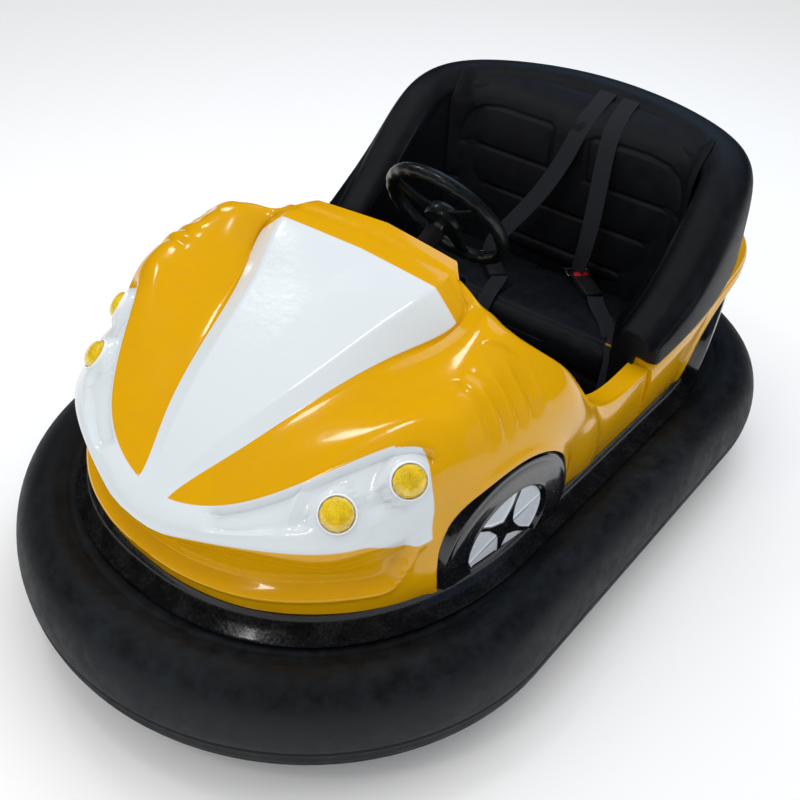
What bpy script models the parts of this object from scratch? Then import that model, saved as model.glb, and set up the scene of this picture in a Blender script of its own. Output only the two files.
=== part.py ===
"""A two-seat battery bumper car: a glass-fibre body on a steel pan, inside a rubber bumper tyre.

Metres, +Z up. The front faces -Y and the driver's left is +X. The origin is on the floor,
under the middle of the bumper tyre. The car stands on one driven wheel, under the hood,
and two plain wheels behind.
"""

import math

import bmesh
import bpy
import numpy as np
from mathutils import Matrix, Vector

# Driving dimensions, in metres.
LENGTH = 1.90
WIDTH = 1.20
GAP = 0.0003

# The body stands inside the tyre's reach, and everything laid out inside it stretches with it.
TYRE_REACH = 0.085
BODY_SIDE_INSET = 0.067
BODY_NOSE_INSET = 0.090
BODY_HALF_WIDTH = WIDTH / 2 - TYRE_REACH - BODY_SIDE_INSET
NOSE_TIP = LENGTH / 2 - TYRE_REACH - BODY_NOSE_INSET
WIDER = BODY_HALF_WIDTH / 0.448
LONGER = NOSE_TIP / 0.775
TAIL_TIP = 0.778 * LONGER

# Bumper tyre.
TYRE_FRONT_ROUND = 0.57 * LONGER
TYRE_REAR_ROUND = 0.50 * LONGER
TYRE_FRONT_POWER = 2.0
TYRE_REAR_POWER = 2.1
TYRE_TOP = 0.262
TYRE_BOTTOM = 0.066
TYRE_INNER = 0.075
TYRE_STEPS = 15

# Steel pan that carries everything.
PAN_Z = 0.128
PAN_THICKNESS = 0.006
RIM_THICKNESS = 0.006
RIM_BOTTOM = 0.078
RIM_TOP = 0.226

# Body shell of glass fibre.
BODY_LIP_Z = 0.288
SHELL = 0.004
SKIN_STEPS = 2
SHELL_EVENING = 4
TRIM_INNER = 0.022
TRIM_OUTER = 0.038

# Round relief wheels on the body's sides.
DISC_RADIUS = 0.165
DISC_DEPTH = 0.026
DISC_GAP = 0.003
FRONT_DISC_Y = -0.332 * LONGER
REAR_DISC_Y = 0.545 * LONGER
DISC_Z = 0.345

# Lamps.
LAMP_RADIUS = 0.029
LAMP_DOME = 0.016
LAMP_GAP = 0.0012

# Seat.
SURROUND_FOOT = 0.300
CUSHION_BOTTOM = 0.285
CUSHION_THICKNESS = 0.085
CUSHION_HALF_WIDTH = 0.402 * WIDER - 0.057
SEAT_FRONT_Y = 0.225 * LONGER
CUSHION_REAR_Y = 0.500 * LONGER
SEAT_REAR_Y = 0.612 * LONGER - 0.077
BACK_HALF_WIDTH = 0.240 * WIDER
BACK_TOP = 0.740

# Driven wheel and its swivel, a fixed reach ahead of the steering wheel.
STEER_Y = 0.040 * LONGER
STEER_REACH = 0.51
SWIVEL_Y = STEER_Y - STEER_REACH
DRIVE_RADIUS = 0.105
DRIVE_WIDTH = 0.055
FORK_PLATE_Z = 2 * DRIVE_RADIUS + 0.026
FORK_PLATE_RADIUS = 0.075
STEM_RADIUS = 0.016
WELL_RADIUS = 0.150
BEARING_Z = FORK_PLATE_Z + 0.022
BEARING_THICKNESS = 0.010
GEARS_Z = BEARING_Z + 0.075

# Steering. The shaft leans from the wheel down to the gears over the swivel.
STEER_RISE = 0.331
STEER_Z = GEARS_Z + STEER_RISE
STEER_ANGLE = math.atan2(STEER_RISE, STEER_REACH)
STEER_RADIUS = 0.136
STEER_TUBE = 0.0135
SHAFT_RADIUS = 0.011
COLUMN_RADIUS = 0.021
SPOKES = 3
SPOKE_START = 0.010

# Rear wheels.
REAR_RADIUS = 0.100
REAR_WIDTH = 0.045
REAR_AXLE_Y = 0.405 * LONGER
REAR_TRACK = CUSHION_HALF_WIDTH - 0.045
AXLE_RADIUS = 0.010
TYRE_DEPTH = 0.022

parts = None
tools = None


def clear_scene():
    for old in list(bpy.data.objects):
        bpy.data.objects.remove(old)


def new_collection(name):
    collection = bpy.data.collections.new(name)
    bpy.context.scene.collection.children.link(collection)
    return collection


def paint(name, colour, roughness, metallic=0.0):
    """One plain paint or finish: a Principled shader with the part's colour."""
    material = bpy.data.materials.new(name)
    material.use_nodes = True
    shader = material.node_tree.nodes["Principled BSDF"]
    shader.inputs["Base Color"].default_value = (*colour, 1.0)
    shader.inputs["Roughness"].default_value = roughness
    shader.inputs["Metallic"].default_value = metallic
    return material


def put(name, data, material, collection=None):
    """Links a new object, with its material, into the parts or another collection."""
    piece = bpy.data.objects.new(name, data)
    (collection or parts).objects.link(piece)
    if material is not None:
        data.materials.append(material)
    return piece


def as_cutter(piece):
    piece.hide_render = True
    piece.display_type = "WIRE"
    return piece


def mesh_from(name, build):
    """A mesh made by build(bm) in a fresh bmesh."""
    bm = bmesh.new()
    build(bm)
    mesh = bpy.data.meshes.new(name)
    bm.to_mesh(mesh)
    bm.free()
    return mesh


def smooth(piece, angle=35):
    piece.data.shade_smooth()
    piece.data.set_sharp_from_angle(angle=math.radians(angle))
    return piece


def box_mesh(name, low, high):
    """A box between two corners."""
    size = Vector(high) - Vector(low)
    middle = (Vector(high) + Vector(low)) / 2
    place = Matrix.Translation(middle) @ Matrix.Diagonal((*size, 1.0))
    return mesh_from(name, lambda bm: bmesh.ops.create_cube(bm, size=1.0, matrix=place))


def box(name, low, high, material, edge=0.0):
    """A box between two corners, with its edges rounded by edge."""
    piece = put(name, box_mesh(name, low, high), material)
    if edge:
        bevel = piece.modifiers.new("edges", "BEVEL")
        bevel.width = edge
        bevel.segments = 2
    return piece


def drum_mesh(name, centre, axis, radius, length, sides=32):
    """A cylinder about any axis through its centre."""
    turn = Vector(axis).to_track_quat("Z", "Y").to_matrix().to_4x4()
    place = Matrix.Translation(centre) @ turn
    return mesh_from(
        name,
        lambda bm: bmesh.ops.create_cone(
            bm, cap_ends=True, segments=sides, radius1=radius, radius2=radius,
            depth=length, matrix=place,
        ),
    )


def turned(name, profile, centre, axis, material, steps=32, collection=None):
    """A profile of (radius, height) points, top to bottom, turned about axis through centre."""
    mesh = bpy.data.meshes.new(name)
    points = [(radius, 0.0, height) for radius, height in profile]
    mesh.from_pydata(points, [(i, i + 1) for i in range(len(points) - 1)], [])
    piece = put(name, mesh, material, collection)
    screw = piece.modifiers.new("turn", "SCREW")
    screw.steps = steps
    screw.render_steps = steps
    screw.use_merge_vertices = True
    screw.merge_threshold = 0.00005
    piece.location = centre
    piece.rotation_euler = Vector(axis).to_track_quat("Z", "Y").to_euler()
    return piece


def ring_profile(inner, outer, bottom, top):
    """A closed square profile for turned(), down its outer side."""
    return [(inner, top), (outer, top), (outer, bottom), (inner, bottom), (inner, top)]


def cut(piece, cutter, operation="DIFFERENCE"):
    as_cutter(cutter)
    boolean = piece.modifiers.new("cut " + cutter.name, "BOOLEAN")
    boolean.operation = operation
    boolean.object = cutter
    boolean.solver = "EXACT"
    return boolean


def add_to(piece, mesh):
    """Joins a closed solid to a piece."""
    return cut(piece, put(mesh.name, mesh, None, tools), "UNION")


def cut_from(piece, mesh):
    """Cuts a closed solid out of a piece."""
    return cut(piece, put(mesh.name, mesh, None, tools))


def plan_outline(half_width, front_tip, rear_tip, front_round, rear_round, powers, steps):
    """Points round the car in plan: a round nose, straight sides and a round tail."""
    points = []
    for quarter in range(4):
        at_front = quarter in (0, 3)
        power = powers[0] if at_front else powers[1]
        reach = front_round if at_front else rear_round
        middle = -front_tip + front_round if at_front else rear_tip - rear_round
        sign_x = 1 if quarter < 2 else -1
        for step in range(steps):
            part = step / steps
            angle = part * math.pi / 2
            if quarter in (1, 3):
                angle = math.pi / 2 - angle
            across = half_width * math.sin(angle) ** (2 / power)
            along = reach * math.cos(angle) ** (2 / power)
            sign_y = -1 if at_front else 1
            points.append((sign_x * across, middle + sign_y * along))
    return points


def tyre_line():
    """The line in plan that the tyre, its rim and the pan are all laid out from."""
    return plan_outline(
        WIDTH / 2 - TYRE_REACH, LENGTH / 2 - TYRE_REACH, LENGTH / 2 - TYRE_REACH,
        TYRE_FRONT_ROUND - TYRE_REACH, TYRE_REAR_ROUND - TYRE_REACH,
        (TYRE_FRONT_POWER, TYRE_REAR_POWER), TYRE_STEPS,
    )


def moved_out(outline, reach):
    """A plan outline moved outwards by reach, square to itself."""
    count = len(outline)
    moved = []
    for index, (x, y) in enumerate(outline):
        along = (Vector(outline[(index + 1) % count]) - Vector(outline[index - 1])).normalized()
        outward = Vector((along.y, -along.x))
        moved.append((x + outward.x * reach, y + outward.y * reach))
    return moved


def band(name, outline, section, material):
    """A closed band: a section of (outward, height) points carried round a plan outline."""
    count = len(outline)
    profile = len(section)
    rings = [moved_out(outline, reach) for reach, _ in section]
    points = [
        (*rings[corner][index], section[corner][1])
        for index in range(count) for corner in range(profile)
    ]
    faces = []
    for index in range(count):
        following = (index + 1) % count
        for corner in range(profile):
            beside = (corner + 1) % profile
            faces.append((
                index * profile + corner, index * profile + beside,
                following * profile + beside, following * profile + corner,
            ))
    mesh = bpy.data.meshes.new(name)
    mesh.from_pydata(points, [], faces)
    bm = bmesh.new()
    bm.from_mesh(mesh)
    bmesh.ops.recalc_face_normals(bm, faces=bm.faces)
    bm.to_mesh(mesh)
    bm.free()
    return put(name, mesh, material)


def plate(name, outline, bottom, thickness, material):
    """A flat plate: a filled 2D outline with a thickness."""
    curve = bpy.data.curves.new(name, "CURVE")
    curve.dimensions = "2D"
    curve.fill_mode = "BOTH"
    curve.extrude = thickness / 2
    spline = curve.splines.new("POLY")
    spline.points.add(len(outline) - 1)
    for point, (x, y) in zip(spline.points, outline):
        point.co = (x, y, 0.0, 1.0)
    spline.use_cyclic_u = True
    guide = put(name + "_outline", curve, None, tools)
    guide.location.z = bottom + thickness / 2
    bpy.context.view_layer.update()
    mesh = solid_of(guide)
    bpy.data.objects.remove(guide)
    mesh.name = name
    return put(name, mesh, material)


def solid_of(piece):
    """The closed mesh of a curve or of an object with its modifiers, in world space."""
    graph = bpy.context.evaluated_depsgraph_get()
    mesh = bpy.data.meshes.new_from_object(piece.evaluated_get(graph))
    bm = bmesh.new()
    bm.from_mesh(mesh)
    bmesh.ops.remove_doubles(bm, verts=bm.verts, dist=0.00002)
    bmesh.ops.recalc_face_normals(bm, faces=bm.faces)
    bm.transform(piece.matrix_world)
    bm.to_mesh(mesh)
    bm.free()
    mesh.materials.clear()
    return mesh


def smooth_route(points, parts_each):
    """Points on a smooth curve through the given points."""
    route = []
    last = len(points) - 1
    for index in range(last):
        before = Vector(points[max(index - 1, 0)])
        start = Vector(points[index])
        end = Vector(points[index + 1])
        after = Vector(points[min(index + 2, last)])
        for step in range(parts_each):
            t = step / parts_each
            route.append(
                0.5 * (2 * start + (end - before) * t
                       + (2 * before - 5 * start + 4 * end - after) * t ** 2
                       + (3 * start - before - 3 * end + after) * t ** 3)
            )
    route.append(Vector(points[last]))
    return route


def tube(name, points, radius, material, resolution=2):
    """A round bar along points, with closed ends."""
    curve = bpy.data.curves.new(name, "CURVE")
    curve.dimensions = "3D"
    curve.bevel_depth = radius
    curve.bevel_resolution = resolution
    curve.use_fill_caps = True
    spline = curve.splines.new("POLY")
    spline.points.add(len(points) - 1)
    for point, place in zip(spline.points, points):
        point.co = (*place, 1.0)
    return put(name, curve, material)


def strap(name, points, side, width, thickness, material):
    """A flat strap along points, as wide as width across the side direction."""
    def build(bm):
        rows = []
        for point in points:
            left = bm.verts.new(point - Vector(side) * width / 2)
            right = bm.verts.new(point + Vector(side) * width / 2)
            rows.append((left, right))
        for (a, b), (c, d) in zip(rows, rows[1:]):
            bm.faces.new((a, b, d, c))
    piece = put(name, mesh_from(name, build), material)
    wall = piece.modifiers.new("webbing", "SOLIDIFY")
    wall.thickness = thickness
    wall.offset = 0.0
    return piece


def smooth_through(points, steps):
    """Points on a smooth line through rows of points, with steps to each span."""
    count = len(points)
    weights = 4 * np.eye(count) + np.eye(count, k=1) + np.eye(count, k=-1)
    weights[0] = 6 * np.eye(count)[0]
    weights[-1] = 6 * np.eye(count)[-1]
    control = np.linalg.solve(weights / 6, points.reshape(count, -1))
    control = np.vstack((2 * control[0] - control[1], control, 2 * control[-1] - control[-2]))
    places = []
    for step in range((count - 1) * steps + 1):
        span = min(step // steps, count - 2)
        t = step / steps - span
        pull = np.array([(1 - t) ** 3, 3 * t ** 3 - 6 * t ** 2 + 4,
                         -3 * t ** 3 + 3 * t ** 2 + 3 * t + 1, t ** 3]) / 6
        places.append(pull @ control[span:span + 4])
    return np.array(places).reshape((-1,) + points.shape[1:])


def fitted(rows):
    """Drawn points stretched to the car's overall sizes."""
    stretched = np.array(rows, dtype=float)
    stretched[..., 0] *= WIDER
    stretched[..., 1] *= LONGER
    return stretched


def skin_points(rows, steps):
    """The points of a body skin and of its mirror image, smoothed both ways."""
    half = fitted(rows)
    ending_at_middle = half[0, -1, 0] == 0
    if ending_at_middle:
        whole = np.concatenate((half, half[:, -2::-1] * (-1, 1, 1)), axis=1)
    else:
        whole = np.concatenate((half[:, :0:-1] * (-1, 1, 1), half), axis=1)
    climbed = smooth_through(whole, steps)
    return smooth_through(climbed.swapaxes(0, 1), steps).swapaxes(0, 1)


def skin(name, rows, steps, material):
    """A closed shell whose outside runs smoothly through rows of points."""
    outside = skin_points(rows, steps)
    high, wide = outside.shape[:2]
    rises = np.gradient(outside, axis=0)
    runs = np.gradient(outside, axis=1)
    normals = np.cross(runs, rises)
    for _ in range(SHELL_EVENING):
        normals /= np.linalg.norm(normals, axis=2, keepdims=True)
        around = np.pad(normals, ((1, 1), (1, 1), (0, 0)), mode="edge")
        normals = (around[:-2, 1:-1] + around[2:, 1:-1] + around[1:-1, :-2] + around[1:-1, 2:]) / 4
    normals /= np.linalg.norm(normals, axis=2, keepdims=True)
    inside = outside - normals * SHELL
    points = np.concatenate((outside.reshape(-1, 3), inside.reshape(-1, 3))).tolist()
    layer = high * wide
    faces = []
    for row in range(high - 1):
        for column in range(wide - 1):
            corner = row * wide + column
            a, b, c, d = corner, corner + 1, corner + wide + 1, corner + wide
            halves = ((a, b, c), (a, c, d)) if column < wide // 2 else ((a, b, d), (b, c, d))
            for half in halves:
                faces.append(half)
                faces.append(tuple(index + layer for index in reversed(half)))
    edge = list(range(wide)) + [row * wide + wide - 1 for row in range(1, high)]
    edge += list(range(layer - 2, layer - wide - 1, -1))
    edge += [row * wide for row in range(high - 2, 0, -1)]
    for corner, following in zip(edge, edge[1:] + edge[:1]):
        faces.append((following, corner, corner + layer, following + layer))
    mesh = bpy.data.meshes.new(name)
    mesh.from_pydata(points, [], faces)
    return put(name, mesh, material)


def seat_in(rows, row, station):
    """A point on a body skin, at a place between its rows and stations, and the way it faces."""
    fine = 20
    half = smooth_through(fitted(rows), fine)
    half = smooth_through(half.swapaxes(0, 1), fine).swapaxes(0, 1)
    up = round(row * fine)
    along = round(station * fine)
    rise = Vector(half[up + 1, along] - half[up - 1, along])
    run = Vector(half[up, along + 1] - half[up, along - 1])
    return Vector(half[up, along]), run.cross(rise).normalized()


# Points on the front body's outside. Each row runs from the nose's middle round to the car's
# left side, and the rows climb from the lower lip to the cockpit's edge.
FRONT_POINTS = [
    [(0, -.775, .288), (.045, -.774, .288), (.085, -.770, .288), (.210, -.733, .288), (.340, -.630, .288),
     (.415, -.505, .288), (.448, -.360, .288), (.448, -.190, .288), (.448, -.030, .288), (.448, .186, .288)],
    [(0, -.783, .335), (.045, -.782, .336), (.085, -.778, .337), (.216, -.736, .342), (.347, -.635, .348),
     (.420, -.505, .350), (.458, -.360, .352), (.460, -.190, .350), (.455, -.030, .325), (.450, .186, .318)],
    [(0, -.783, .395), (.035, -.783, .398), (.070, -.780, .405), (.215, -.732, .437), (.345, -.637, .449),
     (.405, -.500, .450), (.466, -.360, .440), (.470, -.190, .425), (.460, -.030, .360), (.450, .186, .345)],
    [(0, -.743, .434), (.020, -.743, .435), (.038, -.743, .437), (.185, -.682, .487), (.334, -.499, .578),
     (.405, -.460, .555), (.455, -.355, .525), (.470, -.180, .490), (.462, -.033, .395), (.450, .186, .370)],
    [(0, -.635, .508), (.055, -.634, .507), (.088, -.632, .498), (.200, -.565, .545), (.318, -.445, .605),
     (.392, -.405, .608), (.438, -.325, .580), (.463, -.170, .540), (.460, -.030, .415), (.449, .186, .390)],
    [(0, -.485, .580), (.105, -.485, .578), (.142, -.485, .561), (.218, -.440, .583), (.302, -.375, .618),
     (.368, -.350, .637), (.410, -.295, .617), (.445, -.160, .570), (.455, -.028, .430), (.448, .186, .402)],
    [(0, -.345, .642), (.150, -.345, .642), (.197, -.348, .607), (.235, -.325, .613), (.285, -.305, .642),
     (.333, -.290, .668), (.378, -.258, .650), (.425, -.155, .588), (.450, -.026, .440), (.447, .186, .410)],
    [(0, -.228, .692), (.190, -.243, .694), (.246, -.248, .647), (.262, -.240, .655), (.285, -.243, .678),
     (.318, -.245, .690), (.360, -.230, .660), (.415, -.158, .586), (.447, -.030, .445), (.446, .186, .415)],
    [(0, -.150, .712), (.168, -.164, .704), (.204, -.180, .694), (.235, -.191, .682), (.265, -.197, .669),
     (.300, -.205, .660), (.343, -.200, .636), (.400, -.142, .572), (.440, -.020, .440), (.442, .186, .418)],
]

# The rear body, from the step beside the seat round to the tail's middle, and up to its rim.
REAR_POINTS = [
    [(.448, .1885, .288), (.448, .300, .288), (.447, .420, .288), (.432, .560, .288),
     (.355, .690, .288), (.200, .760, .288), (0, .778, .288)],
    [(.455, .1885, .340), (.458, .300, .340), (.458, .420, .340), (.442, .565, .340),
     (.365, .700, .340), (.205, .772, .340), (0, .790, .340)],
    [(.458, .1885, .385), (.465, .310, .400), (.466, .430, .425), (.450, .570, .450),
     (.372, .705, .450), (.210, .775, .450), (0, .792, .450)],
    [(.452, .1885, .420), (.468, .320, .445), (.472, .440, .490), (.462, .560, .525),
     (.380, .698, .530), (.212, .765, .538), (0, .780, .540)],
    [(.430, .1885, .432), (.464, .325, .478), (.472, .445, .522), (.460, .560, .560),
     (.362, .668, .578), (.202, .722, .590), (0, .738, .592)],
]

# The padded surround, from its left front end to its middle behind: a point on its crown, and
# the height of the body's rim below it.
SURROUND_ROUTE = [
    (.402, .193, .494, .440), (.412, .270, .558, .466), (.415, .360, .652, .494),
    (.408, .445, .734, .524), (.380, .528, .772, .560), (.300, .594, .788, .580),
    (.165, .635, .800, .594), (0, .648, .806, .596),
]

# The surround's section: how far out from the crown, what it is measured from, and how far up.
SURROUND_SECTION = [
    (-.046, "foot", 0), (-.052, "middle", -.02), (-.054, "middle", .04), (-.048, "crown", -.022),
    (-.028, "crown", -.006), (0, "crown", 0), (.028, "crown", -.006), (.048, "crown", -.026),
    (.060, "middle", .02), (.067, "rim", .022), (.062, "rim", .005), (.010, "rim", .003),
    (.010, "foot", 0),
]


def mirrored(points):
    """The other half of a route, with the middle point once."""
    return points + [(-x, y, z) for x, y, z in reversed(points[:-1])]


def build_tyre(rubber):
    outline = tyre_line()
    outer = TYRE_REACH
    section = [
        (-TYRE_INNER, .220), (-.065, .235), (-.025, .247), (.005, TYRE_TOP), (outer - .050, .257),
        (outer - .023, .235), (outer - .007, .200), (outer, .160), (outer - .002, .118),
        (outer - .013, .084), (outer - .035, .070), (.010, TYRE_BOTTOM), (-.055, .069),
        (-.070, .085), (-TYRE_INNER, .110),
    ]
    return smooth(band("bumper_tyre", outline, section, rubber))


def build_pan(steel, dark):
    outer = -(TYRE_INNER + GAP)
    inner = outer - RIM_THICKNESS
    section = [(inner, RIM_TOP), (outer, RIM_TOP), (outer, RIM_BOTTOM), (inner, RIM_BOTTOM)]
    band("tyre_rim", tyre_line(), section, steel)
    pan = plate("chassis_pan", moved_out(tyre_line(), inner - GAP), PAN_Z, PAN_THICKNESS, dark)
    well = drum_mesh("drive_well", (0, SWIVEL_Y, PAN_Z), (0, 0, 1), WELL_RADIUS, 0.05, 40)
    cut_from(pan, well)
    for side in (-1, 1):
        centre = side * REAR_TRACK
        low = (centre - REAR_WIDTH / 2 - 0.012, REAR_AXLE_Y - REAR_RADIUS - 0.012, PAN_Z - 0.02)
        high = (centre + REAR_WIDTH / 2 + 0.012, REAR_AXLE_Y + REAR_RADIUS + 0.012, PAN_Z + 0.03)
        cut_from(pan, box_mesh("wheel_slot", low, high))
    return pan


def build_trim(gloss_black):
    outline = plan_outline(
        BODY_HALF_WIDTH, NOSE_TIP, TAIL_TIP, 0.51 * LONGER, 0.50 * LONGER, (2.29, 2.3), TYRE_STEPS,
    )
    section = [
        (-TRIM_INNER, .2300), (-.010, .2300), (.004, .2362), (TRIM_OUTER - .002, .2482),
        (TRIM_OUTER, .2520), (.006, .2800), (.002, BODY_LIP_Z - GAP),
        (-TRIM_INNER, BODY_LIP_Z - GAP),
    ]
    return smooth(band("trim_band", outline, section, gloss_black))


def build_bodies(yellow):
    front = skin("front_body", FRONT_POINTS, SKIN_STEPS, yellow)
    rear = skin("rear_body", REAR_POINTS, SKIN_STEPS, yellow)
    return front, rear


def disc_frame(y, side):
    """Where a relief wheel sits on the body's side, and the way it faces."""
    front = y < 0
    yaw = 0.133 if front else -0.30
    across = (0.446 if front else 0.430) * WIDER
    facing = Vector((math.cos(yaw) * side, -math.sin(yaw), -0.06)).normalized()
    return Vector((side * across, y, DISC_Z)), facing


def build_disc(name, y, side, body, black):
    """A relief wheel: a shallow dish let into the body's side, cut level by the trim band."""
    centre, facing = disc_frame(y, side)
    disc = turned(name, [
        (0, .014), (.030, .016), (.092, .010), (.100, .016), (.150, .014),
        (DISC_RADIUS - .004, .006), (DISC_RADIUS, -.004), (DISC_RADIUS, -DISC_DEPTH + .014),
        (0, -DISC_DEPTH + .014),
    ], centre, facing, black, 40)
    below = box_mesh(name + "_level", (-WIDTH, -LENGTH, -1), (WIDTH, LENGTH, BODY_LIP_Z + 0.002))
    cut_from(disc, below)
    hole = drum_mesh(name + "_hole", centre, facing, DISC_RADIUS + DISC_GAP, 0.16, 40)
    cut_from(body, hole)
    return disc


def build_lamp(name, place, facing, body, material):
    """A domed lamp whose round base sits in a hole in the body."""
    hole = drum_mesh(name + "_hole", place, facing, LAMP_RADIUS + LAMP_GAP, 0.05, 24)
    cut_from(body, hole)
    return turned(name, [
        (0, LAMP_DOME), (.014, .0135), (.023, .008), (LAMP_RADIUS, 0), (LAMP_RADIUS, -.012), (0, -.012),
    ], place, facing, material, 24)


def build_surround(vinyl):
    """The padded wall round the bench: its section carried along the route, and the ends closed."""
    left = fitted(SURROUND_ROUTE)
    whole = np.concatenate((left, left[-2::-1] * (-1, 1, 1, 1)), axis=0)
    route = smooth_through(whole, 3)
    rings = []
    for index, (x, y, crown, rim) in enumerate(route):
        before = route[max(index - 1, 0)]
        after = route[min(index + 1, len(route) - 1)]
        along = Vector((after[0] - before[0], after[1] - before[1])).normalized()
        outward = Vector((along.y, -along.x))
        level = {"foot": SURROUND_FOOT, "crown": crown, "rim": rim, "middle": (crown + rim) / 2}
        rings.append([
            (x + outward.x * out, y + outward.y * out, level[word] + up)
            for out, word, up in SURROUND_SECTION
        ])
    sides = len(SURROUND_SECTION)

    def build(bm):
        made = [[bm.verts.new(point) for point in ring] for ring in rings]
        for ring, following in zip(made, made[1:]):
            for side in range(sides):
                beside = (side + 1) % sides
                bm.faces.new((ring[side], ring[beside], following[beside], following[side]))
        bm.faces.new(made[0])
        bm.faces.new(made[-1])
        bmesh.ops.recalc_face_normals(bm, faces=bm.faces)
    return smooth(put("seat_surround", mesh_from("seat_surround", build), vinyl))


def build_seat(vinyl, lining):
    base_half = CUSHION_HALF_WIDTH + .005
    base_rear = SEAT_REAR_Y - .005
    wall = .012
    base = box("seat_base", (-base_half, SEAT_FRONT_Y, PAN_Z + PAN_THICKNESS + GAP),
               (base_half, base_rear, CUSHION_BOTTOM - GAP), lining)
    hollow = box_mesh("seat_hollow", (wall - base_half, SEAT_FRONT_Y + wall, 0.0),
                      (base_half - wall, base_rear - wall, CUSHION_BOTTOM - wall))
    cut_from(base, hollow)
    box("seat_cushion", (-CUSHION_HALF_WIDTH, SEAT_FRONT_Y - .01, CUSHION_BOTTOM),
        (CUSHION_HALF_WIDTH, CUSHION_REAR_Y, CUSHION_BOTTOM + CUSHION_THICKNESS), vinyl, 0.02)
    box("seat_back", (-BACK_HALF_WIDTH, SEAT_REAR_Y - .024, CUSHION_BOTTOM + .01),
        (BACK_HALF_WIDTH, SEAT_REAR_Y + .018, BACK_TOP), vinyl, 0.018)
    build_surround(vinyl)


def steering_axis():
    return Vector((0, math.cos(STEER_ANGLE), math.sin(STEER_ANGLE)))


def build_steering(black, steel, lining):
    axis = steering_axis()
    centre = Vector((0, STEER_Y, STEER_Z))
    turn = axis.to_track_quat("Z", "Y")
    along = (centre.y - SWIVEL_Y) / axis.y
    rim = bpy.data.meshes.new("steering_wheel")
    bm = bmesh.new()
    ring_steps = 40
    tube_steps = 8
    for step in range(ring_steps):
        angle = step * math.tau / ring_steps
        for around in range(tube_steps):
            lean = around * math.tau / tube_steps
            reach = STEER_RADIUS + STEER_TUBE * math.cos(lean)
            bm.verts.new((reach * math.cos(angle), reach * math.sin(angle), STEER_TUBE * math.sin(lean)))
    bm.verts.ensure_lookup_table()
    for step in range(ring_steps):
        following = (step + 1) % ring_steps
        for around in range(tube_steps):
            beside = (around + 1) % tube_steps
            bm.faces.new([bm.verts[i] for i in (
                step * tube_steps + around, following * tube_steps + around,
                following * tube_steps + beside, step * tube_steps + beside)])
    bmesh.ops.recalc_face_normals(bm, faces=bm.faces)
    bm.to_mesh(rim)
    bm.free()
    wheel = put("steering_wheel", rim, black)
    wheel.location = centre
    wheel.rotation_euler = turn.to_euler()
    for spoke in range(SPOKES):
        angle = math.radians(-90 + spoke * 360 / SPOKES)
        outward = turn @ Vector((math.cos(angle), math.sin(angle), 0))
        middle = centre + outward * (STEER_RADIUS + SPOKE_START) / 2 - axis * 0.004
        place = Matrix.Translation(middle) @ turn.to_matrix().to_4x4() @ Matrix.Rotation(angle, 4, "Z")
        size = Matrix.Diagonal((STEER_RADIUS - SPOKE_START, 0.030, 0.008, 1))
        mesh = mesh_from("spoke", lambda bm: bmesh.ops.create_cube(bm, size=1.0, matrix=place @ size))
        add_to(wheel, mesh)
    hub = drum_mesh("wheel_hub", centre - axis * 0.010, axis, 0.045, 0.034)
    add_to(wheel, hub)
    shaft_top = -0.027 - GAP
    gear_at = 0.0235
    shaft_low = -(along - gear_at)
    turned("steering_shaft", [
        (0, shaft_top), (SHAFT_RADIUS, shaft_top), (SHAFT_RADIUS, shaft_low + .012),
        (.028, shaft_low + .006), (.032, shaft_low - .004), (.0095, shaft_low - .017), (0, shaft_low - .017),
    ], centre, axis, steel, 24)
    column_bore = SHAFT_RADIUS + 0.0015
    turned("steering_column", ring_profile(column_bore, COLUMN_RADIUS, -.330, -.040), centre, axis, lining, 28)
    return axis, centre


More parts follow.
